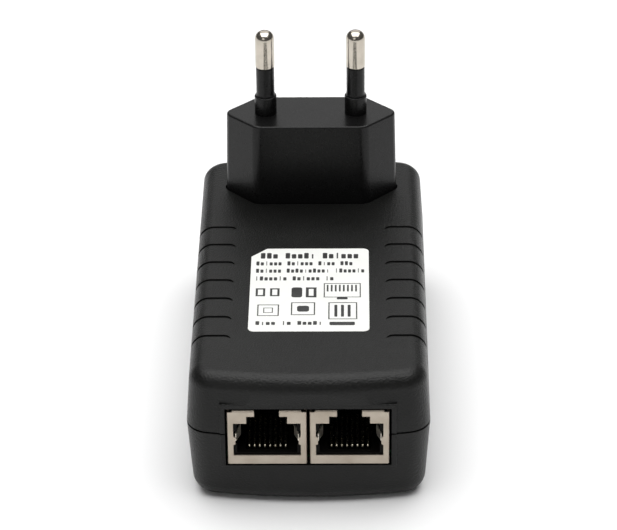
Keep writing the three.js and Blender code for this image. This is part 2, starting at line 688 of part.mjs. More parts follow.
function heatSink() {
  const plate = box(around(0, 12), [FIT, FIT + SINK_THICKNESS], [FIT, 15]);
  const foot = box(around(0, 12), [FIT, FIT + 3.4], [13.5, 15]);
  return plate.add(foot).subtract(crossBore(SCREW_RADIUS + FIT, [-1, FIT + SINK_THICKNESS + 1]));
}

function powerPackage() {
  const body = box(around(0, 10), [-4.5, 0], [1.4, 8.8]);
  const tab = box(around(0, 10), [-1.3, 0], [1.4, 15]);
  const legs = [-2.54, 0, 2.54].map((x) => box(around(x, LEG_SIZE), around(-2.5, LEG_SIZE), [FIT, 2]));
  return join(body, tab, ...legs).subtract(crossBore(SCREW_RADIUS + FIT, [-2, 1]));
}

function packageScrew() {
  const head = crossBore(2.7, [-3.2, -1.3 - FIT]);
  return head.add(crossBore(SCREW_RADIUS, [-2, FIT + SINK_THICKNESS + 1.2]));
}

function addPowerSet(names, at, turn) {
  const [packageName, screwName, sinkName] = names;
  addPart(packageName, 'epoxyBlack', powerPackage(), at, [[-2.54, -2.5], [0, -2.5], [2.54, -2.5]], turn);
  addPart(screwName, 'steel', packageScrew(), at, [], turn);
  const pegY = FIT + SINK_THICKNESS / 2;
  addPart(sinkName, 'aluminium', heatSink(), at, [[-5, pegY], [5, pegY]], turn);
}

function flatPackage(width, depth, height) {
  return moulded(width, depth, [1, 1 + height], 0.3);
}

function discCapacitor() {
  const geometry = new THREE.CylinderGeometry(4, 4, 3.2, 16);
  geometry.rotateZ(Math.PI / 2);
  geometry.translate(0, 0, 5.2);
  const roots = [-2.5, 2.5].map((y) => box(around(0, LEG_SIZE), around(y, LEG_SIZE), [FIT, 3]));
  return join(toSolid(geometry), ...roots);
}

function drumChoke(radius) {
  return turned([
    [0, FIT], [radius, FIT], [radius, 1.6], [radius - 0.5, 1.6], [radius - 0.5, 9], [radius, 9],
    [radius, 10.4], [0, 10.4],
  ]);
}

// Package body that stands off the board on its own legs.
function standingOn(body, legs) {
  const stems = legs.map(([x, y]) => box(around(x, LEG_SIZE), around(y, LEG_SIZE), [FIT, 2]));
  return join(body, ...stems);
}

const quarter = Math.PI / 2;

// Mains side, under and in front of the plug.
addPart('fuse', 'steel', fuseLink(), [-17, PLUG_Y - 2.5], [[0, -3.7], [0, 3.7]]);
addPart('x_capacitor', 'filmYellow', moulded(13, 6, [FIT, 10.5]), [0, PLUG_Y + 5], [[-5, 0], [5, 0]]);
addPart('line_filter_choke', 'ferrite', toroidChoke(), [13.4, PLUG_Y - 4.6], legRows([-4, 4], [-4, 4]));
const bridgeLegs = legRows([-3, 3], [-1.7, 1.7]);
const bridge = standingOn(flatPackage(9, 5, 2.8), bridgeLegs);
addPart('bridge_rectifier', 'epoxyBlack', bridge, [-4.6, PLUG_Y - 3.4], bridgeLegs);
addPart('bulk_capacitor_1', 'canBlack', canCapacitor(4.9, 16), [-12.4, PLUG_Y - 15.4], [[-2.5, 0], [2.5, 0]]);
addPart('bulk_capacitor_2', 'canBlack', canCapacitor(4.9, 16), [-2, PLUG_Y - 15.4], [[-2.5, 0], [2.5, 0]]);
addPowerSet(['switching_transistor', 'transistor_screw', 'heat_sink_primary'], [11.5, PLUG_Y - 17], quarter);

// Isolation, in the middle of the board.
const transformerPlace = [-3.5, MIDDLE_Y - 3.6];
const bobbinLegs = legRows([-5, 0, 5], [-5.5, 5.5]);
addPart('transformer_core', 'ferrite', transformerCore(), transformerPlace);
addPart('transformer_bobbin', 'epoxyBlack', transformerBobbin(), transformerPlace, bobbinLegs);
addPart('transformer_winding', 'tapeYellow', transformerWinding(), transformerPlace);
addPart('y_capacitor', 'ceramicBlue', discCapacitor(), [-16.8, MIDDLE_Y - 2], [[0, -2.5], [0, 2.5]]);
const chipLegs = legRows([-3.81, -1.27, 1.27, 3.81], [-3.1, 3.1]);
const chip = standingOn(flatPackage(9.4, 6, 3.2), chipLegs);
addPart('control_chip', 'epoxyBlack', chip, [14, MIDDLE_Y - 0.9], chipLegs, quarter);
const couplerLegs = legRows([-1.27, 1.27], [-3.1, 3.1]);
const coupler = standingOn(flatPackage(4.6, 6, 3.2), couplerLegs);
addPart('optocoupler', 'epoxyBlack', coupler, [14, MIDDLE_Y - 9.3], couplerLegs);

// Output side, behind the jacks.
const outputY = JACK_REAR_Y + 7.6;
addPowerSet(['output_diode', 'diode_screw', 'heat_sink_secondary'], [-10.4, outputY + 1], 0);
addPart('output_capacitor_1', 'canBlack', canCapacitor(3.7, 14), [1.4, outputY - 2], [[-1.8, 0], [1.8, 0]]);
addPart('output_capacitor_2', 'canBlack', canCapacitor(3.7, 14), [9.6, outputY - 2], [[-1.8, 0], [1.8, 0]]);
addPart('output_choke', 'ferrite', drumChoke(2.7), [16.9, outputY + 1], [[0, -1.6], [0, 1.6]]);

// ---------------------------------------------------------------- circuit board

function circuitBoard() {
  const depthBelowSeam = BASE_HEIGHT - BOARD_BOTTOM;
  const lost = CASE_WALL + BOARD_EDGE_GAP + Math.tan(CASE_DRAFT) * depthBelowSeam;
  const ends = [JACK_FACE_Y + BOARD_FRONT_GAP, REAR_Y - lost - BOARD_REAR_GAP];
  const corners = raised(caseOutline(lost), [BOARD_BOTTOM - 1, BOARD_TOP + 1]);
  const plate = box(around(0, CASE_WIDTH), ends, [BOARD_BOTTOM, BOARD_TOP]).intersect(corners);
  const through = [BOARD_BOTTOM - 1, BOARD_TOP + 1];
  const holes = boardHoles.map(([x, y, size]) => box(around(x, size), around(y, size), through));
  const pegHoles = postPlaces.map((at) => rod(PEG_RADIUS + FIT, through, at, 8));
  return plate.subtract(join(...holes, ...pegHoles));
}

addMesh('circuit_board', 'board', circuitBoard());

export default injector;
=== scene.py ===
import json
import math

import bpy
from mathutils import Matrix, Vector

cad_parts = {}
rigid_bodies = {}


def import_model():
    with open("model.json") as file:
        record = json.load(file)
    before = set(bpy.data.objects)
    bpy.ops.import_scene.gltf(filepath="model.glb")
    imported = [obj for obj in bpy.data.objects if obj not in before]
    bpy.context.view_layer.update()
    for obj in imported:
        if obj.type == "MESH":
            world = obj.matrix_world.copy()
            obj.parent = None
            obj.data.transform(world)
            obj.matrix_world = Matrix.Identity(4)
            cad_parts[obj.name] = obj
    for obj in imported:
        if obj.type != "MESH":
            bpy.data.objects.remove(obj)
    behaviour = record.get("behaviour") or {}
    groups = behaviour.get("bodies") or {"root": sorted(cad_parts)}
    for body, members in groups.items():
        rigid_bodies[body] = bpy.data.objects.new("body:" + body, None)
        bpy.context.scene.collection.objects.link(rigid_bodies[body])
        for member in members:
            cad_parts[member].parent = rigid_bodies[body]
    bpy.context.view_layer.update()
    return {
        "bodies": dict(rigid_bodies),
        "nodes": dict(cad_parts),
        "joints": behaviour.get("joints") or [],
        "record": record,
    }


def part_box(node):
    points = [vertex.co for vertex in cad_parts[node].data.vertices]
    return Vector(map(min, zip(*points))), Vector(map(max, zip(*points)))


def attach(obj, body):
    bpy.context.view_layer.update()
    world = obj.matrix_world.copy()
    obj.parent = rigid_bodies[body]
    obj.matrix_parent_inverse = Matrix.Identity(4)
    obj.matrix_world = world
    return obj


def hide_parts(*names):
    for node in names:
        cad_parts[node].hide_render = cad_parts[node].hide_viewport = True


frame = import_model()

bpy.ops.object.select_all(action="DESELECT")
MM = 0.001

# ------------------------------------------------------------------ case shells
# Two drafted halves moulded in black ABS, with bowed ends, tangent corners and soft outer edges.
# They meet at a seam near the middle of the jacks, and a flat pad frames the jacks in front.
# Posts and pegs inside pin the circuit board between them, and a lip behind the seam locates the cover.

case_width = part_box("lower_base")[1].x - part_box("lower_base")[0].x
case_length = 91.7 * MM
case_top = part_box("upper_cover")[1].z
case_wall = 2 * MM
case_draft = math.radians(3.8)
bow_radius = 120 * MM
corner_radius = 5 * MM
top_edge = 3 * MM
bottom_edge = 3.5 * MM
seam = 16.5 * MM
seam_gap = 0.3 * MM
seam_edge = 0.15 * MM
lip_height = 1.8 * MM
lip_wall = 1 * MM
clearance = 0.3 * MM
ceiling = case_top - case_wall

jack_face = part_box("left_jack_shield")[0].y
jack_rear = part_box("left_jack_shield")[1].y
jack_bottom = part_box("left_jack_shield")[0].z
jack_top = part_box("left_jack_shield")[1].z
jacks_half_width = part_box("right_jack_shield")[1].x
pad_half_width = jacks_half_width + 1.43 * MM
pad_bottom = jack_bottom - 0.8 * MM
pad_top = jack_top + 1.4 * MM
pad_fade = 0.45 * MM
aperture_gap = 0.4 * MM
board_low, board_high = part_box("circuit_board")


def select_faces(obj, test):
    """Selects the faces of a mesh in edit mode whose centre and normal pass the test."""
    bpy.ops.mesh.select_mode(type="FACE")
    bpy.ops.mesh.select_all(action="DESELECT")
    bpy.ops.object.mode_set(mode="OBJECT")
    for face in obj.data.polygons:
        face.select = test(face.center, face.normal)
    bpy.ops.object.mode_set(mode="EDIT")


def select_edges(obj, test):
    """Selects the edges of a mesh in edit mode whose two ends pass the test."""
    bpy.ops.mesh.select_mode(type="EDGE")
    bpy.ops.mesh.select_all(action="DESELECT")
    bpy.ops.object.mode_set(mode="OBJECT")
    corners = obj.data.vertices
    for edge in obj.data.edges:
        edge.select = test(corners[edge.vertices[0]].co, corners[edge.vertices[1]].co)
    bpy.ops.object.mode_set(mode="EDIT")


def pick(obj):
    """Makes a piece the only one selected, out of edit mode."""
    if bpy.context.object and bpy.context.object.mode == "EDIT":
        bpy.ops.object.mode_set(mode="OBJECT")
    bpy.ops.object.select_all(action="DESELECT")
    bpy.context.view_layer.objects.active = obj
    obj.select_set(True)


def edit(obj):
    """Opens a piece in edit mode."""
    pick(obj)
    bpy.ops.object.mode_set(mode="EDIT")


def settle(obj, name, material, angle=30):
    """Finishes a piece: place into mesh, smooth faces with crisp edges, and its material."""
    pick(obj)
    bpy.ops.object.transform_apply(location=True, rotation=True, scale=True)
    bpy.ops.object.shade_smooth_by_angle(angle=math.radians(angle))
    flats = obj.modifiers.new("flat_faces", "WEIGHTED_NORMAL")
    flats.keep_sharp = True
    bpy.ops.object.modifier_apply(modifier=flats.name)
    obj.data.materials.clear()
    obj.data.materials.append(material)
    obj.name = name
    obj.data.name = name
    return obj


def add_block(x, y, z):
    """A block between two limits along each axis."""
    bpy.ops.mesh.primitive_cube_add(
        size=1,
        location=((x[0] + x[1]) / 2, (y[0] + y[1]) / 2, (z[0] + z[1]) / 2),
        scale=(x[1] - x[0], y[1] - y[0], z[1] - z[0]))
    block = bpy.context.object
    bpy.ops.object.transform_apply(location=True, rotation=True, scale=True)
    return block


def add_rod(radius, z, place, sides=24):
    """An upright rod between two heights."""
    bpy.ops.mesh.primitive_cylinder_add(
        vertices=sides, radius=radius, depth=z[1] - z[0], location=(place[0], place[1], (z[0] + z[1]) / 2))
    rod = bpy.context.object
    bpy.ops.object.transform_apply(location=True, rotation=True, scale=True)
    return rod


def combine(obj, tool, operation, keep=False):
    """Joins, cuts or crosses a piece with a tool body, which is used up unless it is kept."""
    pick(obj)
    step = obj.modifiers.new(operation.lower(), "BOOLEAN")
    step.operation = operation
    step.object = tool
    step.solver = "EXACT"
    bpy.ops.object.modifier_apply(modifier=step.name)
    if not keep:
        bpy.data.objects.remove(tool)
    return obj


def soften(obj, width, segments=2, angle=35):
    """Rounds the sharp edges of a piece."""
    pick(obj)
    step = obj.modifiers.new("rounding", "BEVEL")
    step.width = width
    step.segments = segments
    step.limit_method = "ANGLE"
    step.angle_limit = math.radians(angle)
    bpy.ops.object.modifier_apply(modifier=step.name)
    return obj


def draw_line(points):
    """Draws a line by extruding one point from place to place, and leaves its last point selected."""
    bpy.ops.mesh.primitive_plane_add(size=MM, location=points[0])
    line = bpy.context.object
    bpy.ops.object.transform_apply(location=True, rotation=True, scale=True)
    bpy.ops.object.mode_set(mode="EDIT")
    bpy.ops.mesh.select_mode(type="VERT")
    bpy.ops.mesh.select_all(action="SELECT")
    bpy.ops.mesh.merge(type="CENTER")
    for here, there in zip(points, points[1:]):
        step = Vector(there) - Vector(here)
        bpy.ops.mesh.extrude_region_move(TRANSFORM_OT_translate={"value": step})
    return line


def draw_prism(points, reach):
    """A solid with the outline of the points, extruded by a reach."""
    prism = draw_line(points)
    bpy.ops.mesh.select_all(action="SELECT")
    bpy.ops.mesh.edge_face_add()
    bpy.ops.mesh.extrude_region_move(TRANSFORM_OT_translate={"value": reach})
    bpy.ops.mesh.select_all(action="SELECT")
    bpy.ops.mesh.normals_make_consistent(inside=False)
    bpy.ops.object.mode_set(mode="OBJECT")
    return prism


def draw_case_outline(inset):
    """Draws the plan of the case at the seam by spinning one point round six tangent arcs."""
    corner = max(corner_radius - inset, 0.6 * MM)
    bow = bow_radius - inset
    corner_x = case_width / 2 - inset - corner
    bow_centre = bow_radius - case_length / 2
    corner_y = math.sqrt((bow - corner) ** 2 - corner_x ** 2) - bow_centre
    swing = math.asin(corner_x / (bow - corner))
    outline = draw_line([(-bow * math.sin(swing), bow_centre - bow * math.cos(swing), 0)])
    arcs = [
        ((0, bow_centre), 2 * swing, 32),
        ((corner_x, -corner_y), math.pi / 2 - swing, 12),
        ((corner_x, corner_y), math.pi / 2 - swing, 12),
        ((0, -bow_centre), 2 * swing, 32),
        ((-corner_x, corner_y), math.pi / 2 - swing, 12),
        ((-corner_x, -corner_y), math.pi / 2 - swing, 12),
    ]
    for i, ((x, y), angle, steps) in enumerate(arcs):
        if i in (2, 5):
            run = 2 * corner_y if i == 2 else -2 * corner_y
            bpy.ops.mesh.extrude_region_move(TRANSFORM_OT_translate={"value": (0, run, 0)})
        bpy.ops.mesh.spin(steps=steps, angle=angle, center=(x, y, 0), axis=(0, 0, -1))
    bpy.ops.mesh.select_all(action="SELECT")
    bpy.ops.mesh.remove_doubles(threshold=0.01 * MM)
    return outline


def add_case_half(rise, edge, inset=0, start=0):
    """One drafted half, from the seam up or down by its rise, with a rounded outer edge."""
    half = draw_case_outline(inset)
    bpy.ops.mesh.edge_face_add()
    up = 1 if rise > 0 else -1
    height = abs(rise) - inset
    bpy.ops.transform.translate(value=(0, 0, up * start))
    lost = 2 * (height - start) * math.tan(case_draft)
    bpy.ops.mesh.extrude_region_move(TRANSFORM_OT_translate={"value": (0, 0, up * (height - start))})
    bpy.ops.transform.resize(
        value=(1 - lost / (case_width - 2 * inset), 1 - lost / (case_length - 2 * inset), 1),
        center_override=(0, 0, up * height))
    bpy.ops.mesh.select_all(action="SELECT")
    bpy.ops.mesh.normals_make_consistent(inside=False)
    select_edges(half, lambda a, b: min(abs(a.z), abs(b.z)) > height - 0.01 * MM)
    bpy.ops.mesh.bevel(offset=max(edge - inset, 0.5 * MM), segments=10, profile=0.5, clamp_overlap=False)
    if start:
        select_edges(half, lambda a, b: max(abs(a.z), abs(b.z)) < start + 0.01 * MM)
        bpy.ops.mesh.bevel(offset=seam_edge, segments=3, profile=0.5, clamp_overlap=False)
    bpy.ops.object.mode_set(mode="OBJECT")
    half.location.z = seam
    pick(half)
    bpy.ops.object.transform_apply(location=True, rotation=True, scale=True)
    return half


def add_case_plate(inset, z):
    """An upright plate with the plan of the case, between two heights."""
    plate = draw_case_outline(inset)
    bpy.ops.mesh.edge_face_add()
    bpy.ops.transform.translate(value=(0, 0, z[0]))
    bpy.ops.mesh.extrude_region_move(TRANSFORM_OT_translate={"value": (0, 0, z[1] - z[0])})
    bpy.ops.mesh.select_all(action="SELECT")
    bpy.ops.mesh.normals_make_consistent(inside=False)
    bpy.ops.object.mode_set(mode="OBJECT")
    return plate


def add_case_ring(outer, inner, z):
    """An upright ring that follows the case wall between two insets and two heights."""
    return combine(add_case_plate(outer, z), add_case_plate(inner, (z[0] - MM, z[1] + MM)), "DIFFERENCE")


def add_jack_aperture():
    """The opening for both jacks, through either half."""
    reach = jacks_half_width + aperture_gap
    return add_block(
        (-reach, reach), (jack_face - 3 * MM, jack_rear),
        (jack_bottom - aperture_gap, jack_top + aperture_gap))


def add_pad(half, z, fade_z):
    """Cuts the bowed wall back to the flat pad, easing out towards fade_z, and fills up to it at its ends."""
    ahead = jack_face - 3 * MM
    faded = jack_face - pad_fade
    near, far = (z[1], z[0]) if fade_z > z[1] else (z[0], z[1])
    profile = [(ahead, far), (jack_face, far), (jack_face, near), (faded, fade_z), (ahead, fade_z)]
    points = [(-pad_half_width, y, height) for y, height in profile]
    combine(half, draw_prism(points, (2 * pad_half_width, 0, 0)), "DIFFERENCE")
    pad = add_block((-pad_half_width, pad_half_width), (jack_face, jack_face + 3 * MM), z)
    edit(pad)
    select_edges(pad, lambda a, b: max(a.y, b.y) < jack_face + 0.01 * MM and (
        a.x * b.x > 0 or abs(a.z - near) + abs(b.z - near) < 0.01 * MM))
    bpy.ops.mesh.bevel(offset=0.2 * MM, segments=3, profile=0.5)
    combine(half, pad, "UNION")
    combine(half, add_jack_aperture(), "DIFFERENCE")


def new_finish(name, dark, light, patch, rough, grain, relief, metallic=0.0):
    """A finish with mottled colour, uneven gloss and a fine relief.

    patch and grain are the sizes of the mottling and of the relief, rough is the span of roughness.
    """
    finish = bpy.data.materials.new(name)
    finish.use_nodes = True
    tree = finish.node_tree
    shader = tree.nodes["Principled BSDF"]
    shader.inputs["Metallic"].default_value = metallic
    place = tree.nodes.new("ShaderNodeTexCoord")
    mottle = tree.nodes.new("ShaderNodeTexNoise")
    mottle.inputs["Scale"].default_value = 1 / patch
    mottle.inputs["Detail"].default_value = 4
    tree.links.new(place.outputs["Object"], mottle.inputs["Vector"])
    colour = tree.nodes.new("ShaderNodeValToRGB")
    colour.color_ramp.elements[0].position = 0.3
    colour.color_ramp.elements[1].position = 0.7
    colour.color_ramp.elements[0].color = (*dark, 1)
    colour.color_ramp.elements[1].color = (*light, 1)
    tree.links.new(mottle.outputs["Fac"], colour.inputs["Fac"])
    tree.links.new(colour.outputs["Color"], shader.inputs["Base Color"])
    speckle = tree.nodes.new("ShaderNodeTexNoise")
    speckle.inputs["Scale"].default_value = 1 / grain
    speckle.inputs["Detail"].default_value = 2
    tree.links.new(place.outputs["Object"], speckle.inputs["Vector"])
    gloss = tree.nodes.new("ShaderNodeMapRange")
    gloss.inputs["From Min"].default_value = 0.3
    gloss.inputs["From Max"].default_value = 0.7
    gloss.inputs["To Min"].default_value = rough[0]
    gloss.inputs["To Max"].default_value = rough[1]
    tree.links.new(speckle.outputs["Fac"], gloss.inputs["Value"])
    tree.links.new(gloss.outputs["Result"], shader.inputs["Roughness"])
    bump = tree.nodes.new("ShaderNodeBump")
    bump.name = "relief"
    bump.inputs["Strength"].default_value = 1
    bump.inputs["Distance"].default_value = relief
    tree.links.new(speckle.outputs["Fac"], bump.inputs["Height"])
    tree.links.new(bump.outputs["Normal"], shader.inputs["Normal"])
    return finish


case_plastic = new_finish(
    "case_plastic", (0.0046, 0.0047, 0.0043), (0.007, 0.0072, 0.0066),
    9 * MM, (0.3, 0.42), 0.36 * MM, 0.12 * MM)
case_plastic.node_tree.nodes["Principled BSDF"].inputs["Specular IOR Level"].default_value = 0.24

# The mains plug stands in a six-sided hole near the rear of the cover.
plug_width = 35.3 * MM
plug_depth = 13.7 * MM
plug_flat = 22.8 * MM
plug_nose = 1.6 * MM
plug_draft = math.radians(1.15)
plug_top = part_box("pin_sleeve_left")[0].z - 4.25 * MM
plug_y = (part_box("pin_left")[0].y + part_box("pin_left")[1].y) / 2


def add_plug_body(low, high, grow=0.0, rounding=0.0):
    """Six-sided body of the plug, wider towards its foot, grown or shrunk all round."""
    flat = plug_flat / 2 + grow / 2
    half_width = plug_width / 2 + grow
    half_depth = plug_depth / 2 + grow
    quarter = [(half_width, plug_nose / 2), (flat, half_depth)]
    half = quarter + [(-x, y) for x, y in reversed(quarter)]
    outline = half + [(x, -y) for x, y in reversed(half)]
    body = draw_prism([(x, y, high) for x, y in outline], (0, 0, low - high))
    edit(body)
    for height in (low, high):
        spread = math.tan(plug_draft) * (plug_top - height)
        select_faces(body, lambda centre, normal: abs(centre.z - height) < 0.01 * MM)
        bpy.ops.transform.resize(
            value=(1 + spread / half_width, 1 + spread / half_depth, 1), center_override=(0, 0, height))
    if rounding:
        select_edges(body, lambda a, b: abs(a.z - b.z) > MM and abs(a.x) > plug_width * 0.45)
        bpy.ops.mesh.bevel(offset=0.45 * plug_nose, segments=5, profile=0.5)
        select_edges(body, lambda a, b: abs(a.z - b.z) > MM and abs(a.x) < plug_width * 0.4)
        bpy.ops.mesh.bevel(offset=rounding, segments=6, profile=0.5)
    pick(body)
    body.location.y = plug_y
    bpy.ops.object.transform_apply(location=True, rotation=True, scale=True)
    return body


# Seven finger grips a side: each is a saw-tooth groove that runs over the top edge and dies out on the
# side wall, with its inner end hooked forwards.
grip_count = 7
grip_pitch = 7.055 * MM
grip_rear_y = case_length / 2 - 32.26 * MM
grip_inner_x = 15.4 * MM
grip_width = 0.9 * MM
grip_depth = 0.34 * MM
grip_side_depth = 0.5 * MM
grip_hook = 1.3 * MM
grip_drop = 1.6 * MM
grip_clearance = 0.9 * MM
grip_side_steps = ((0.7, -grip_side_depth), (0.7, 0), (0.9, grip_side_depth), (0.6, grip_depth * 1.3))
grip_hook_steps = ((0.5, 0.15, 0), (0.3, 0.3, 0.05), (0.2, 0.4, 0.1))
edge_turn = math.pi / 2 - case_draft
edge_round = top_edge * math.tan((math.pi / 2 + case_draft) / 2)
top_half_width = case_width / 2 - (case_top - seam) * math.tan(case_draft)
edge_centre_x = top_half_width - top_edge
edge_centre_z = case_top - edge_round


def add_grip_cutter(y):
    """Cutter for one groove on the right side, with its steep wall at the rear."""
    run = grip_width * grip_clearance / grip_depth
    start = grip_inner_x + grip_hook
    section = [
        (start, y + grip_width / 2, case_top - grip_depth),
        (start, y + grip_width / 2 + 0.1 * MM, case_top + grip_clearance),
        (start, y - grip_width / 2 - run, case_top + grip_clearance),
    ]
    cutter = draw_prism(section, (edge_centre_x - start, 0, 0))
    edit(cutter)
    select_faces(cutter, lambda centre, normal: centre.x > edge_centre_x - 0.01 * MM)
    bpy.ops.mesh.spin(steps=10, angle=edge_turn, center=(edge_centre_x, y, edge_centre_z), axis=(0, -1, 0))
    down = Vector((math.sin(case_draft), 0, -math.cos(case_draft)))
    out = Vector((math.cos(case_draft), 0, math.sin(case_draft)))
    for drop, shift in grip_side_steps:
        step = down * drop * grip_drop + out * shift
        bpy.ops.mesh.extrude_region_move(TRANSFORM_OT_translate={"value": step})
    select_faces(cutter, lambda centre, normal: centre.x < start + 0.01 * MM)
    for inward, forward, lift in grip_hook_steps:
        bpy.ops.mesh.extrude_region_move(
            TRANSFORM_OT_translate={"value": Vector((-inward, -forward, lift)) * grip_hook})
    bpy.ops.mesh.select_all(action="SELECT")
    bpy.ops.mesh.normals_make_consistent(inside=False)
    pick(cutter)
    return cutter


def join_pieces(parts):
    """Joins several separate bodies into the first one."""
    pick(parts[0])
    for part in parts[1:]:
        part.select_set(True)
    bpy.ops.object.join()
    return bpy.context.object


def mirror_across(obj):
    """Adds the piece's mirror image on the other side of the case."""
    pick(obj)
    twin = obj.modifiers.new("other_side", "MIRROR")
    twin.use_mirror_merge = False
    bpy.ops.object.modifier_apply(modifier=twin.name)
    bpy.ops.object.mode_set(mode="EDIT")
    bpy.ops.mesh.select_all(action="SELECT")
    bpy.ops.mesh.normals_make_consistent(inside=False)
    bpy.ops.object.mode_set(mode="OBJECT")
    return obj


# The rating label lies in a shallow pocket.
label_low, label_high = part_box("rating_label")
label_cut = 3.2 * MM
label_floor = case_top - 0.3 * MM


def add_label_plate(grow, z, corner):
    """Plate with the label's outline: round corners, and the rear left one cut off."""
    left, right = label_low.x - grow, label_high.x + grow
    front, rear = label_low.y - grow, label_high.y + grow
    points = [
        (left, front), (right, front), (right, rear),
        (left + label_cut, rear), (left, rear - label_cut),
    ]
    plate = draw_prism([(x, y, z[0]) for x, y in points], (0, 0, z[1] - z[0]))
    edit(plate)
    select_edges(plate, lambda a, b: abs(a.z - b.z) > 0.05 * MM and (a.y < front + MM or a.x > right - MM))
    bpy.ops.mesh.bevel(offset=corner, segments=6, profile=0.5)
    pick(plate)
    return plate


post_places = [
    (side * (case_width / 2 - inset), y)
    for side in (-1, 1)
    for inset, y in ((6.3 * MM, jack_rear + 2.9 * MM), (5.3 * MM, plug_y - 11.4 * MM))
]
post_radius = 1.9 * MM
peg_radius = 1 * MM

upper_cover = add_case_half(case_top - seam, top_edge, start=seam_gap / 2)
combine(upper_cover, add_case_half(case_top - seam, top_edge, inset=case_wall), "DIFFERENCE")
add_pad(upper_cover, (seam + seam_gap / 2, pad_top), case_top - top_edge)
for place in post_places:
    post = add_rod(post_radius, (board_high.z + 2 * peg_radius, ceiling + 0.5 * MM), place)
    combine(upper_cover, post, "UNION")
combine(upper_cover, add_plug_body(ceiling - MM, case_top + MM, clearance, 1.2 * MM), "DIFFERENCE")
grips = join_pieces([add_grip_cutter(grip_rear_y - i * grip_pitch) for i in range(grip_count)])
combine(upper_cover, mirror_across(grips), "DIFFERENCE")
combine(upper_cover, add_label_plate(0.03 * MM, (label_floor, case_top + MM), 1.2 * MM), "DIFFERENCE")
settle(upper_cover, "cover_shell", case_plastic)
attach(upper_cover, "case")
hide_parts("upper_cover")

lower_base = add_case_half(-seam, bottom_edge, start=seam_gap / 2)
combine(lower_base, add_case_half(-seam, bottom_edge, inset=case_wall), "DIFFERENCE")
add_pad(lower_base, (pad_bottom, seam - seam_gap / 2), bottom_edge)
lip_outer = case_wall + clearance
lip = add_case_ring(lip_outer, lip_outer + lip_wall, (seam - 3 * MM, seam + lip_height))
ledge = add_case_ring(case_wall - 0.8 * MM, lip_outer + lip_wall, (seam - 3 * MM, seam - MM))
combine(lip, ledge, "UNION")
combine(lip, add_jack_aperture(), "DIFFERENCE")
combine(lower_base, lip, "UNION")
for place in post_places:
    boss = add_rod(post_radius + 0.5 * MM, (case_wall - 0.5 * MM, board_low.z - clearance), place)
    combine(lower_base, boss, "UNION")
    combine(lower_base, add_rod(peg_radius, (case_wall, board_high.z + peg_radius), place, 16), "UNION")
settle(lower_base, "base_shell", case_plastic)
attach(lower_base, "case")
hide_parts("lower_base")

# ------------------------------------------------------------------ mains plug
# The plug body is one hollow moulding in smooth black plastic: a tapered six-sided block with a flange
# that is trapped under the cover, and two collars that carry the insulated part of the pins.

plug_plastic = new_finish(
    "plug_plastic", (0.004, 0.004, 0.004), (0.006, 0.006, 0.006), 14 * MM, (0.26, 0.34), 0.3 * MM, 0.004 * MM)
plug_plastic.node_tree.nodes["Principled BSDF"].inputs["Specular IOR Level"].default_value = 0.24
pin_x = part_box("pin_right")[0].x / 2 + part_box("pin_right")[1].x / 2
pin_places = [(-pin_x, plug_y), (pin_x, plug_y)]
plug_foot = ceiling - clearance - 1.2 * MM
plug_wall = 1.8 * MM
plug_roof = 3 * MM
collar_radius = 2.3 * MM
collar_top = plug_top + 4.1 * MM
pin_core_radius = 1.4 * MM

plug = add_plug_body(plug_foot, plug_top, 0, 1.2 * MM)
edit(plug)
select_edges(plug, lambda a, b: min(a.z, b.z) > plug_top - 0.01 * MM)
bpy.ops.mesh.bevel(offset=0.45 * MM, segments=4, profile=0.5)
pick(plug)
combine(plug, add_plug_body(plug_foot, ceiling - clearance, 1.2 * MM, 1.2 * MM), "UNION")
combine(plug, add_plug_body(plug_foot - MM, plug_top - plug_roof, -plug_wall), "DIFFERENCE")
for place in pin_places:
    combine(plug, add_rod(3.4 * MM, (plug_foot, plug_top - MM), place, 32), "UNION")
    collar = add_rod(collar_radius, (plug_top - MM, collar_top), place, 48)
    edit(collar)
    select_edges(collar, lambda a, b: min(a.z, b.z) > collar_top - 0.01 * MM)
    bpy.ops.mesh.bevel(offset=0.25 * MM, segments=4, profile=0.5)
    pick(collar)
    combine(plug, collar, "UNION")
    bore = add_rod(pin_core_radius + 0.15 * MM, (plug_foot - MM, collar_top + MM), place, 32)
    combine(plug, bore, "DIFFERENCE")
settle(plug, "plug_body", plug_plastic)
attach(plug, "case")
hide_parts("plug_block")

# ------------------------------------------------------------------ contact pins
# Two turned brass pins with a nickel plate. The domed end is bare, and the shank runs down through the
# sleeve and the collar into the plug body.

pin_nickel = new_finish(
    "pin_nickel", (0.46, 0.42, 0.36), (0.58, 0.53, 0.46),
    3 * MM, (0.12, 0.24), 0.4 * MM, 0.003 * MM, metallic=1.0)
pin_radius = 2 * MM
pin_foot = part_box("pin_left")[0].z
pin_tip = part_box("pin_left")[1].z
pin_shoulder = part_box("pin_sleeve_left")[1].z + 0.15 * MM
turn_marks = pin_nickel.node_tree.nodes.new("ShaderNodeTexWave")
turn_marks.wave_type = "BANDS"
turn_marks.bands_direction = "Z"
turn_marks.inputs["Scale"].default_value = 900
turn_marks.inputs["Distortion"].default_value = 2
pin_place = pin_nickel.node_tree.nodes["Texture Coordinate"]
pin_nickel.node_tree.links.new(pin_place.outputs["Object"], turn_marks.inputs["Vector"])
pin_nickel.node_tree.links.new(
    turn_marks.outputs["Fac"], pin_nickel.node_tree.nodes["relief"].inputs["Height"])
pin_nickel.node_tree.nodes["relief"].inputs["Distance"].default_value = 0.001 * MM

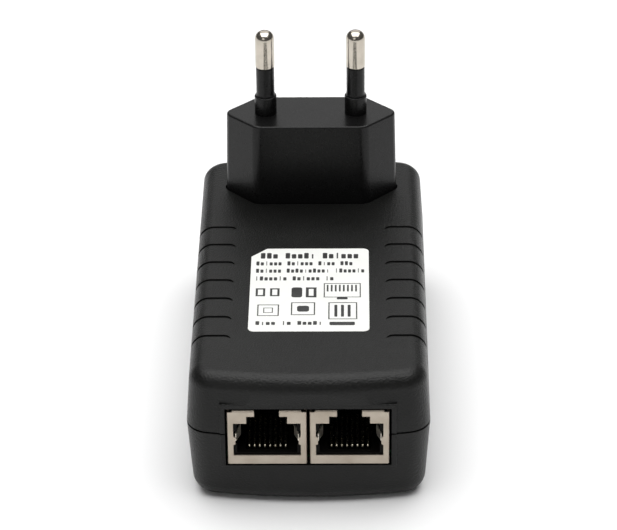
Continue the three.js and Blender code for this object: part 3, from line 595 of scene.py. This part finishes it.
for label, place in zip(("left", "right"), pin_places):
    pin = add_rod(pin_radius, (pin_shoulder, pin_tip), place, 48)
    edit(pin)
    select_edges(pin, lambda a, b: min(a.z, b.z) > pin_tip - 0.01 * MM)
    bpy.ops.mesh.bevel(offset=pin_radius * 0.86, segments=10, profile=0.5)
    select_edges(pin, lambda a, b: max(a.z, b.z) < pin_shoulder + 0.01 * MM)
    bpy.ops.mesh.bevel(offset=0.15 * MM, segments=2, profile=0.5)
    select_faces(pin, lambda centre, normal: normal.z < -0.99)
    bpy.ops.mesh.inset(thickness=pin_radius - 0.15 * MM - pin_core_radius)
    bpy.ops.mesh.extrude_region_move(TRANSFORM_OT_translate={"value": (0, 0, pin_foot - pin_shoulder)})
    bpy.ops.mesh.bevel(offset=0.2 * MM, segments=3, profile=0.5)
    settle(pin, f"contact_pin_{label}", pin_nickel)
    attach(pin, "case")
    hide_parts(f"pin_{label}")

# ------------------------------------------------------------------ pin sleeves
# Moulded sleeves insulate the half of each pin next to the plug body, and flare where they meet the collar.

sleeve_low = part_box("pin_sleeve_left")[0].z
sleeve_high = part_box("pin_sleeve_left")[1].z
sleeve_radius = 1.9 * MM
sleeve_bore = 1.55 * MM
sleeve_flare = 0.2 * MM

for label, place in zip(("left", "right"), pin_places):
    sleeve = add_rod(sleeve_radius, (sleeve_low, sleeve_high), place, 48)
    edit(sleeve)
    bpy.ops.mesh.select_all(action="SELECT")
    bpy.ops.mesh.bisect(
        plane_co=(place[0], place[1], sleeve_low + 2 * sleeve_flare), plane_no=(0, 0, 1))
    select_faces(sleeve, lambda centre, normal: normal.z < -0.99)
    bpy.ops.transform.resize(
        value=(1 + sleeve_flare / sleeve_radius, 1 + sleeve_flare / sleeve_radius, 1),
        center_override=(place[0], place[1], sleeve_low))
    select_edges(sleeve, lambda a, b: min(a.z, b.z) > sleeve_high - 0.01 * MM)
    bpy.ops.mesh.bevel(offset=0.2 * MM, segments=3, profile=0.5)
    pick(sleeve)
    combine(sleeve, add_rod(sleeve_bore, (sleeve_low - MM, sleeve_high + MM), place, 48), "DIFFERENCE")
    settle(sleeve, f"pin_insulation_{label}", plug_plastic)
    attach(sleeve, "case")
    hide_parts(f"pin_sleeve_{label}")

# ------------------------------------------------------------------ jack shields
# Each network jack wears a box folded from thin tinned sheet, open underneath. Its face has a stepped
# opening for the plug and its latch, a small tab bent in at each side and a relief cut at each top corner.

shield_tin = new_finish(
    "shield_tin", (0.36, 0.31, 0.25), (0.46, 0.405, 0.34),
    5 * MM, (0.3, 0.42), 0.25 * MM, 0.004 * MM, metallic=0.85)
shield_low, shield_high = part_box("left_jack_shield")
jack_width = shield_high.x - shield_low.x
jack_height = jack_top - jack_bottom
jack_depth = jack_rear - jack_face
shield_wall = 0.35 * MM
mouth_half = jack_width / 2 - 1.2 * MM
mouth_bottom = 1.95 * MM
mouth_top = 9.42 * MM
step_half = 4 * MM
step_top = 11.03 * MM
notch_half = 2.45 * MM
tab_reach = 0.4 * MM
tab_half = 0.95 * MM
corner_cut = 0.35 * MM
fold_radius = 0.4 * MM
tab_middle = (mouth_bottom + mouth_top) / 2 - 0.35 * MM


def place_copy(template, place, flip=False):
    """A copy of a template with its own mesh, moved to a place and perhaps mirrored left to right."""
    twin = template.copy()
    twin.data = template.data.copy()
    bpy.context.scene.collection.objects.link(twin)
    twin.location = place
    if flip:
        twin.scale.x = -1
        pick(twin)
        bpy.ops.object.transform_apply(location=True, rotation=True, scale=True)
        bpy.ops.object.mode_set(mode="EDIT")
        bpy.ops.mesh.select_all(action="SELECT")
        bpy.ops.mesh.normals_make_consistent(inside=False)
        bpy.ops.object.mode_set(mode="OBJECT")
    return twin


shield = add_block((-jack_width / 2, jack_width / 2), (0, jack_depth), (0, jack_height))
edit(shield)
select_edges(shield, lambda a, b: (a.z + b.z) / 2 > jack_height - 0.01 * MM or abs(a.z - b.z) > MM)
bpy.ops.mesh.bevel(offset=fold_radius, segments=4, profile=0.5)
pick(shield)
inside = add_block(
    (-jack_width / 2 + shield_wall, jack_width / 2 - shield_wall),
    (shield_wall, jack_depth - shield_wall), (-MM, jack_height - shield_wall))
combine(shield, inside, "DIFFERENCE")
outline = [
    (mouth_half, mouth_bottom), (mouth_half, tab_middle - tab_half),
    (mouth_half - tab_reach, tab_middle - tab_half + tab_reach / 2),
    (mouth_half - tab_reach, tab_middle + tab_half - tab_reach / 2),
    (mouth_half, tab_middle + tab_half), (mouth_half, mouth_top),
    (step_half, mouth_top), (step_half, step_top),
    (notch_half, step_top), (notch_half, jack_height - 2 * shield_wall),
]
outline += [(-x, z) for x, z in reversed(outline)]
mouth = draw_prism([(x, -MM, z) for x, z in outline], (0, 3 * MM, 0))
combine(shield, mouth, "DIFFERENCE")
notch = add_block((-notch_half, notch_half), (-MM, 3.5 * MM), (step_top - MM, jack_height + MM))
combine(shield, notch, "DIFFERENCE")
for side in (-1, 1):
    reach = sorted((side * (jack_width / 2 - 1.05 * MM), side * jack_width))
    relief = add_block(reach, (-MM, 1.4 * MM), (jack_height - corner_cut, jack_height + MM))
    combine(shield, relief, "DIFFERENCE")

jack_x = (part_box("right_jack_shield")[0].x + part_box("right_jack_shield")[1].x) / 2
jack_places = {
    "left": Vector((-jack_x, jack_face, jack_bottom)),
    "right": Vector((jack_x, jack_face, jack_bottom)),
}
for label, place in jack_places.items():
    piece = settle(place_copy(shield, place), f"{label}_shield", shield_tin)
    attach(piece, "case")
    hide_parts(f"{label}_jack_shield")
bpy.data.objects.remove(shield)

# ------------------------------------------------------------------ jack inserts
# The insert is a black moulding with a cavity for the plug, a step for its latch, side slots for the ground
# springs, and a comb at the rear that keeps the eight wires apart.

jack_plastic = new_finish(
    "jack_plastic", (0.003, 0.0025, 0.002), (0.005, 0.0045, 0.004), 4 * MM, (0.45, 0.6), 0.2 * MM, 0.006 * MM)
jack_plastic.node_tree.nodes["Principled BSDF"].inputs["Specular IOR Level"].default_value = 0.08
contact_count = 8
contact_pitch = 1.02 * MM
cavity_half = mouth_half - 0.7 * MM
cavity_depth = 14.5 * MM
skin = shield_wall + 0.15 * MM
spring_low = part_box("left_jack_left_spring")[0].z - jack_bottom
spring_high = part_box("left_jack_left_spring")[1].z - jack_bottom

insert = add_block(
    (-jack_width / 2 + skin, jack_width / 2 - skin), (skin, jack_depth - skin), (0, jack_height - skin))
soften(insert, 0.15 * MM)
cuts = [
    ((-cavity_half, cavity_half), (-MM, cavity_depth), (mouth_bottom + 0.35 * MM, mouth_top - 0.1 * MM)),
    ((-step_half + 0.2 * MM, step_half - 0.2 * MM), (-MM, cavity_depth - 1.5 * MM), (
        mouth_top - MM, step_top - 0.1 * MM)),
    ((-notch_half + 0.15 * MM, notch_half - 0.15 * MM), (-MM, 3.5 * MM), (step_top - MM, jack_height)),
    ((-jack_width, jack_width), (-MM, 9.6 * MM), (spring_low - 0.3 * MM, spring_high + 0.3 * MM)),
    ((-4.28 * MM, 4.28 * MM), (1.7 * MM, 8 * MM), (1.1 * MM, mouth_bottom + MM)),
]
for x, y, z in cuts:
    combine(insert, add_block(x, y, z), "DIFFERENCE")
for i in range(contact_count):
    x = (i - (contact_count - 1) / 2) * contact_pitch
    slot = add_block((x - 0.33 * MM, x + 0.33 * MM), (cavity_depth - MM, cavity_depth + 2 * MM), (
        2.6 * MM, 6.5 * MM))
    combine(insert, slot, "DIFFERENCE")
for label, place in jack_places.items():
    piece = settle(place_copy(insert, place), f"{label}_insert", jack_plastic)
    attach(piece, "case")
    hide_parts(f"{label}_jack_housing")
bpy.data.objects.remove(insert)

# ------------------------------------------------------------------ contact wires
# Eight gold-plated wires rise from the floor of each jack: each comes forward to a tight bend behind the face
# and slopes back up to its free end, and gives as a plug is pushed in.

contact_gold = new_finish(
    "contact_gold", (0.88, 0.8, 0.6), (0.96, 0.9, 0.74),
    2 * MM, (0.2, 0.3), 0.2 * MM, 0.002 * MM, metallic=1.0)
wire_width = 0.45 * MM
wire_thickness = 0.32 * MM
wire_end = Vector((0, 10.6 * MM, 4.29 * MM))

rise = Vector((0, wire_end.y - 3.1 * MM, wire_end.z - 2.56 * MM)).normalized()
rise_angle = math.atan2(rise.z, rise.y)
bpy.ops.mesh.primitive_circle_add(vertices=10, radius=wire_thickness / 2, fill_type="NGON", location=wire_end)
wire = bpy.context.object
bpy.ops.object.transform_apply(location=True, rotation=True, scale=True)
edit(wire)
bpy.ops.mesh.select_all(action="SELECT")
bpy.ops.transform.resize(value=(wire_width / wire_thickness, 1, 1), center_override=wire_end)
bpy.ops.transform.rotate(
    value=-(math.pi / 2 + rise_angle), orient_axis="X", orient_type="GLOBAL", center_override=wire_end)
slope_run = wire_end.y - 3.0 * MM
bpy.ops.mesh.extrude_region_move(TRANSFORM_OT_translate={"value": -rise * slope_run / rise.y})
bend_radius = 0.38 * MM
bend_centre = wire_end - rise * slope_run / rise.y + Vector((0, rise.z, -rise.y)) * bend_radius
bpy.ops.mesh.spin(steps=8, angle=math.pi + rise_angle - math.radians(8), center=bend_centre, axis=(-1, 0, 0))
bpy.ops.mesh.extrude_region_move(TRANSFORM_OT_translate={"value": (0, 1.4 * MM, 0)})
bpy.ops.mesh.select_all(action="SELECT")
bpy.ops.mesh.normals_make_consistent(inside=False)
pick(wire)

for label, place in jack_places.items():
    for i in range(contact_count):
        shift = Vector(((i - (contact_count - 1) / 2) * contact_pitch, 0, 0))
        piece = settle(place_copy(wire, place + shift), f"{label}_wire_{i + 1}", contact_gold, 50)
        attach(piece, f"{label}_contacts")
        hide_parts(f"{label}_contact_{i + 1}")
bpy.data.objects.remove(wire)

# ------------------------------------------------------------------ ground springs
# A springy tongue at each side of a jack bows into the cavity and earths the shell of the plug. It is folded
# back from the front edge of the shield, and is widest at its bow.

spring_tin = new_finish(
    "spring_tin", (0.78, 0.72, 0.62), (0.88, 0.83, 0.73),
    2 * MM, (0.3, 0.4), 0.2 * MM, 0.003 * MM, metallic=0.9)
spring_sheet = 0.25 * MM
spring_narrowing = 0.7
spring_root_y = 0.75 * MM
spring_bow_y = 4.05 * MM
spring_tip_y = 8.6 * MM
spring_root = jack_width / 2 - 1.75 * MM
spring_bow = jack_width / 2 - 2.6 * MM
spring_tip = jack_width / 2 - 1.7 * MM


def spring_x(y):
    """Distance of the tongue from the middle of the jack, eased from its root to its bow to its tip."""
    if y < spring_bow_y:
        start, end, share = spring_root, spring_bow, (y - spring_root_y) / (spring_bow_y - spring_root_y)
    else:
        start, end, share = spring_bow, spring_tip, (y - spring_bow_y) / (spring_tip_y - spring_bow_y)
    return start + (end - start) * (3 - 2 * share) * share ** 2


spring_steps = 18
spring_pitch = (spring_tip_y - spring_root_y) / spring_steps
spring_ys = [spring_root_y + spring_pitch * i for i in range(spring_steps + 1)]
spring = draw_line([(spring_x(y), y, spring_low) for y in spring_ys])
bpy.ops.mesh.select_all(action="SELECT")
bpy.ops.mesh.extrude_region_move(TRANSFORM_OT_translate={"value": (0, 0, spring_high - spring_low)})
for y in spring_ys:
    share = abs(y - spring_bow_y) / (spring_tip_y - spring_bow_y)
    select_edges(spring, lambda a, b: max(abs(a.y - y), abs(b.y - y)) < 0.01 * MM)
    bpy.ops.transform.resize(
        value=(1, 1, 1 - spring_narrowing * share ** 2),
        center_override=(0, y, (spring_low + spring_high) / 2))
bpy.ops.mesh.select_all(action="SELECT")
bpy.ops.mesh.normals_make_consistent(inside=False)
pick(spring)
sheet = spring.modifiers.new("sheet", "SOLIDIFY")
sheet.thickness = spring_sheet
sheet.offset = 1 if spring.data.polygons[0].normal.x > 0 else -1
bpy.ops.object.modifier_apply(modifier=sheet.name)
soften(spring, 0.05 * MM, 2)

for label, place in jack_places.items():
    for hand in ("left", "right"):
        twin = place_copy(spring, place, flip=hand == "left")
        piece = settle(twin, f"{label}_{hand}_tongue", spring_tin)
        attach(piece, f"{label}_jack_{hand}_tongue")
        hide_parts(f"{label}_jack_{hand}_spring")
bpy.data.objects.remove(spring)

# ------------------------------------------------------------------ rating label
# A printed sticker of off-white film on the cover, with round corners and one cut off. Its print is greeked:
# rows of blocks stand for the lines, and plain frames for the marks.

label_film = new_finish(
    "label_film", (0.76, 0.765, 0.735), (0.81, 0.815, 0.785), 6 * MM, (0.38, 0.5), 0.5 * MM, 0.004 * MM)
label_top = case_top + 0.04 * MM
label = add_label_plate(0, (label_low.z, label_top), 1.2 * MM)
edit(label)
select_edges(label, lambda a, b: min(a.z, b.z) > label_top - 0.01 * MM)
bpy.ops.mesh.bevel(offset=0.03 * MM, segments=2, profile=0.5)
settle(label, "label_sticker", label_film)
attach(label, "case")
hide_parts("rating_label")

label_ink = new_finish(
    "label_ink", (0.012, 0.012, 0.012), (0.03, 0.03, 0.03), 1.5 * MM, (0.4, 0.5), 0.3 * MM, 0.002 * MM)
print_top = label_top + 0.008 * MM
label_width = label_high.x - label_low.x
label_length = label_high.y - label_low.y
marks = []


def add_mark(across, down, frame=0.0):
    """One printed block, or a frame of it, between shares of the label's width and length."""
    x = [label_low.x + share * label_width for share in across]
    y = [label_high.y - share * label_length for share in down]
    middle = ((x[0] + x[1]) / 2, (y[0] + y[1]) / 2, label_top - 0.01 * MM)
    bpy.ops.mesh.primitive_plane_add(size=1, location=middle)
    mark = bpy.context.object
    bpy.ops.object.transform_apply(location=True, rotation=True, scale=True)
    bpy.ops.object.mode_set(mode="EDIT")
    bpy.ops.mesh.select_all(action="SELECT")
    bpy.ops.transform.resize(value=(x[1] - x[0], y[0] - y[1], 1), center_override=middle)
    if frame:
        bpy.ops.mesh.inset(thickness=frame)
        bpy.ops.mesh.delete(type="FACE")
        bpy.ops.mesh.select_all(action="SELECT")
    else:
        bpy.ops.mesh.bevel(offset=min(x[1] - x[0], y[0] - y[1]) * 0.25, segments=3, affect="VERTICES")
        bpy.ops.mesh.select_all(action="SELECT")
    rise_by = (0, 0, print_top - label_top + 0.01 * MM)
    bpy.ops.mesh.extrude_region_move(TRANSFORM_OT_translate={"value": rise_by})
    bpy.ops.mesh.select_all(action="SELECT")
    bpy.ops.mesh.normals_make_consistent(inside=False)
    bpy.ops.object.mode_set(mode="OBJECT")
    marks.append(mark)
    return mark


def add_text_row(across, down, words, gap=0.012):
    """A row of blocks that stands for a line of print, with the given number of blocks to each word."""
    blocks = sum(words) + len(words) - 1
    step = (across[1] - across[0] + gap) / blocks
    x = across[0]
    tall = down[1] - down[0]
    for length in words:
        for i in range(length):
            low = 0.0 if i == 0 or (i + length) % 4 == 0 else 0.22
            narrow = 0.25 * step if (i * 3 + length) % 5 == 2 else 0.0
            add_mark((x + narrow, x + step - gap - narrow), (down[0] + low * tall, down[1]))
            x += step
        x += step


add_text_row((0.08, 0.91), (0.055, 0.125), (3, 5, 6), 0.014)
add_text_row((0.045, 0.86), (0.16, 0.21), (6, 6, 4, 3))
add_text_row((0.045, 0.96), (0.25, 0.3), (6, 10, 7))
add_text_row((0.04, 0.70), (0.345, 0.395), (7, 6, 2))
add_text_row((0.06, 0.61), (0.88, 0.925), (4, 2, 5))
add_mark((0.05, 0.13), (0.49, 0.585), 0.45 * MM)
add_mark((0.17, 0.25), (0.49, 0.585), 0.45 * MM)
add_mark((0.35, 0.44), (0.48, 0.6))
add_mark((0.47, 0.56), (0.48, 0.6), 0.6 * MM)
add_mark((0.62, 0.93), (0.43, 0.6), 0.22 * MM)
for i in range(8):
    add_mark((0.645 + i * 0.034, 0.66 + i * 0.034), (0.45, 0.53))
add_mark((0.73, 0.82), (0.6, 0.625))
add_mark((0.07, 0.25), (0.685, 0.82), 0.25 * MM)
add_mark((0.12, 0.2), (0.722, 0.783), 0.2 * MM)
add_mark((0.35, 0.55), (0.66, 0.81), 0.25 * MM)
add_mark((0.4, 0.5), (0.7, 0.77))
add_mark((0.66, 0.9), (0.66, 0.86), 0.25 * MM)
for i in range(3):
    add_mark((0.71 + i * 0.055, 0.735 + i * 0.055), (0.69, 0.83))
add_mark((0.67, 0.88), (0.89, 0.93))
ink = join_pieces(marks)
settle(ink, "label_print", label_ink)
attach(ink, "case")

# ------------------------------------------------------------------ circuit board
# Glass-epoxy board, pinned between the pegs of the base and the posts of the cover. Green resist covers its
# copper, which shows through as paler runs.


def dress(name, finish, rounding=0.0):
    """Gives a frame node its finish and, where it is worth it, rounds its edges."""
    node = frame["nodes"][name]
    node.material_slots[0].material = finish
    if rounding:
        weld = node.modifiers.new("weld", "WELD")
        weld.merge_threshold = 0.002 * MM
        edges = node.modifiers.new("edges", "BEVEL")
        edges.width = rounding
        edges.segments = 2
        edges.limit_method = "ANGLE"
        edges.angle_limit = math.radians(40)


board_resist = new_finish(
    "board_resist", (0.01, 0.085, 0.03), (0.014, 0.115, 0.04), 4 * MM, (0.25, 0.35), 0.3 * MM, 0.004 * MM)
nodes = board_resist.node_tree.nodes
runs = nodes.new("ShaderNodeTexBrick")
runs.inputs["Scale"].default_value = 140
runs.inputs["Mortar Size"].default_value = 0.06
runs.inputs["Color1"].default_value = (0.02, 0.17, 0.06, 1)
runs.inputs["Color2"].default_value = (0.018, 0.15, 0.055, 1)
runs.inputs["Mortar"].default_value = (0.008, 0.07, 0.025, 1)
blend = nodes.new("ShaderNodeMix")
blend.data_type = "RGBA"
blend.inputs["Factor"].default_value = 0.6
links = board_resist.node_tree.links
links.new(nodes["Texture Coordinate"].outputs["Object"], runs.inputs["Vector"])
links.new(nodes["Color Ramp"].outputs["Color"], blend.inputs["A"])
links.new(runs.outputs["Color"], blend.inputs["B"])
links.new(blend.outputs["Result"], nodes["Principled BSDF"].inputs["Base Color"])
dress("circuit_board", board_resist, 0.1 * MM)

# ------------------------------------------------------------------ mains leads
# Two short insulated leads, brown for live and blue for neutral, run from the pins down to the board.

lead_brown = new_finish(
    "lead_brown", (0.1, 0.035, 0.014), (0.13, 0.05, 0.022), 2 * MM, (0.35, 0.45), 0.2 * MM, 0.005 * MM)
lead_blue = new_finish(
    "lead_blue", (0.014, 0.06, 0.22), (0.022, 0.085, 0.28), 2 * MM, (0.35, 0.45), 0.2 * MM, 0.005 * MM)
dress("mains_lead_left", lead_brown)
dress("mains_lead_right", lead_blue)

# ------------------------------------------------------------------ capacitors
# The electrolytic cans wear printed shrink sleeves, the mains film capacitor is a yellow box, and the ceramic
# disc across the transformer is dipped in blue lacquer.

can_sleeve = new_finish(
    "can_sleeve", (0.008, 0.012, 0.02), (0.014, 0.02, 0.032), 3 * MM, (0.18, 0.28), 0.6 * MM, 0.01 * MM)
film_box = new_finish(
    "film_box", (0.52, 0.33, 0.035), (0.62, 0.41, 0.05), 3 * MM, (0.3, 0.4), 0.3 * MM, 0.01 * MM)
disc_lacquer = new_finish(
    "disc_lacquer", (0.018, 0.1, 0.28), (0.03, 0.14, 0.36), 2 * MM, (0.15, 0.28), 0.7 * MM, 0.03 * MM)
for name in ("bulk_capacitor_1", "bulk_capacitor_2", "output_capacitor_1", "output_capacitor_2"):
    dress(name, can_sleeve, 0.15 * MM)
dress("x_capacitor", film_box, 0.3 * MM)
dress("y_capacitor", disc_lacquer, 0.2 * MM)

# ------------------------------------------------------------------ transformer and chokes
# The flyback transformer is wound on a bobbin inside a ferrite core and wrapped in yellow tape. The chokes
# are ferrite too.

ferrite = new_finish(
    "ferrite", (0.025, 0.023, 0.022), (0.05, 0.047, 0.044), 0.8 * MM, (0.45, 0.65), 0.15 * MM, 0.02 * MM)
winding_tape = new_finish(
    "winding_tape", (0.56, 0.4, 0.05), (0.66, 0.5, 0.08), 3 * MM, (0.16, 0.26), 0.8 * MM, 0.008 * MM)
tape_turns = winding_tape.node_tree.nodes.new("ShaderNodeTexWave")
tape_turns.bands_direction = "Z"
tape_turns.inputs["Scale"].default_value = 120
tape_turns.inputs["Distortion"].default_value = 0.6
links = winding_tape.node_tree.links
links.new(winding_tape.node_tree.nodes["Texture Coordinate"].outputs["Object"], tape_turns.inputs["Vector"])
links.new(tape_turns.outputs["Fac"], winding_tape.node_tree.nodes["relief"].inputs["Height"])
winding_tape.node_tree.nodes["relief"].inputs["Distance"].default_value = 0.03 * MM
bobbin_phenolic = new_finish(
    "bobbin_phenolic", (0.012, 0.01, 0.009), (0.02, 0.017, 0.015), 2 * MM, (0.35, 0.5), 0.2 * MM, 0.01 * MM)
dress("transformer_core", ferrite, 0.25 * MM)
dress("transformer_winding", winding_tape, 0.3 * MM)
dress("transformer_bobbin", bobbin_phenolic, 0.15 * MM)
dress("line_filter_choke", ferrite, 0.2 * MM)
dress("output_choke", ferrite, 0.2 * MM)

# ------------------------------------------------------------------ semiconductors and fuse
# Rectifier, switch, diode, controller and optocoupler are moulded in black epoxy. The fuse has plated caps.

epoxy_black = new_finish(
    "epoxy_black", (0.012, 0.012, 0.012), (0.022, 0.022, 0.022), 1.5 * MM, (0.45, 0.6), 0.12 * MM, 0.012 * MM)
fuse_caps = new_finish(
    "fuse_caps", (0.46, 0.46, 0.45), (0.58, 0.58, 0.57),
    1 * MM, (0.2, 0.35), 0.2 * MM, 0.004 * MM, metallic=1.0)
for name in ("bridge_rectifier", "switching_transistor", "output_diode", "control_chip", "optocoupler"):
    dress(name, epoxy_black, 0.15 * MM)
dress("fuse", fuse_caps, 0.15 * MM)

# ------------------------------------------------------------------ heat sinks and screws
# Two bent aluminium plates carry the heat of the switch and the diode, each clamped by a zinc-plated screw.

sink_sheet = new_finish(
    "sink_sheet", (0.5, 0.51, 0.52), (0.62, 0.63, 0.64),
    4 * MM, (0.28, 0.42), 0.3 * MM, 0.006 * MM, metallic=1.0)
brushing = sink_sheet.node_tree.nodes.new("ShaderNodeMapping")
brushing.inputs["Scale"].default_value = (1, 1, 0.06)
links = sink_sheet.node_tree.links
links.new(sink_sheet.node_tree.nodes["Texture Coordinate"].outputs["Object"], brushing.inputs["Vector"])
for texture in [node for node in sink_sheet.node_tree.nodes if node.type == "TEX_NOISE"]:
    links.new(brushing.outputs["Vector"], texture.inputs["Vector"])
screw_zinc = new_finish(
    "screw_zinc", (0.42, 0.43, 0.45), (0.55, 0.56, 0.58),
    1 * MM, (0.22, 0.34), 0.2 * MM, 0.006 * MM, metallic=1.0)
dress("heat_sink_primary", sink_sheet, 0.12 * MM)
dress("heat_sink_secondary", sink_sheet, 0.12 * MM)
dress("transistor_screw", screw_zinc, 0.1 * MM)
dress("diode_screw", screw_zinc, 0.1 * MM)

# ------------------------------------------------------------------ studio
# A pale floor that runs out to nothing, a large soft light overhead, and weaker ones behind and in front.

bpy.ops.mesh.primitive_plane_add(size=6, location=(0, 1.5, -0.02 * MM))
floor = bpy.context.object
floor.name = "floor"
pale = bpy.data.materials.new("pale_floor")
pale.use_nodes = True
pale.node_tree.nodes["Principled BSDF"].inputs["Base Color"].default_value = (0.9, 0.9, 0.9, 1)
pale.node_tree.nodes["Principled BSDF"].inputs["Roughness"].default_value = 0.9
floor.data.materials.append(pale)

world = bpy.data.worlds.new("studio")
world.use_nodes = True
world.node_tree.nodes["Background"].inputs["Color"].default_value = (1, 1, 1, 1)
world.node_tree.nodes["Background"].inputs["Strength"].default_value = 0.12
bpy.context.scene.world = world


def add_light(name, place, aim, size, power):
    light = bpy.data.lights.new(name, "AREA")
    light.shape = "RECTANGLE"
    light.size, light.size_y = size
    light.energy = power
    lamp = bpy.data.objects.new(name, light)
    lamp.location = place
    lamp.rotation_euler = (Vector(aim) - Vector(place)).to_track_quat("-Z", "Y").to_euler()
    bpy.context.scene.collection.objects.link(lamp)


add_light("overhead", (0, 0.15, 1.4), (0, 0.15, 0), (1.8, 1.8), 34)
add_light("rear", (0, 1.7, 1.0), (0, 0, 0.03), (1.6, 0.8), 4)
add_light("front", (-0.25, -0.9, 0.55), (0, 0, 0.02), (0.5, 0.5), 0.8)
bpy.context.scene.view_settings.view_transform = "Standard"

camera_distance = 0.6866
camera_elevation = math.radians(31.06)
camera_turn = math.radians(0.958)
camera_roll = math.radians(-0.657)
camera_aim = Vector((-0.713 * MM, 23.24 * MM, 14.1 * MM))
camera_data = bpy.data.cameras.new("camera")
camera_data.lens = 187.49
camera_data.sensor_width = 36
camera = bpy.data.objects.new("camera", camera_data)
back = Vector((
    math.sin(camera_turn) * math.cos(camera_elevation),
    -math.cos(camera_turn) * math.cos(camera_elevation),
    math.sin(camera_elevation)))
turn = Matrix.Rotation(camera_turn, 4, "Z")
tilt = Matrix.Rotation(math.pi / 2 - camera_elevation, 4, "X")
roll = Matrix.Rotation(camera_roll, 4, "Z")
camera.matrix_world = Matrix.Translation(camera_aim + back * camera_distance) @ turn @ tilt @ roll
bpy.context.scene.collection.objects.link(camera)
bpy.context.scene.camera = camera
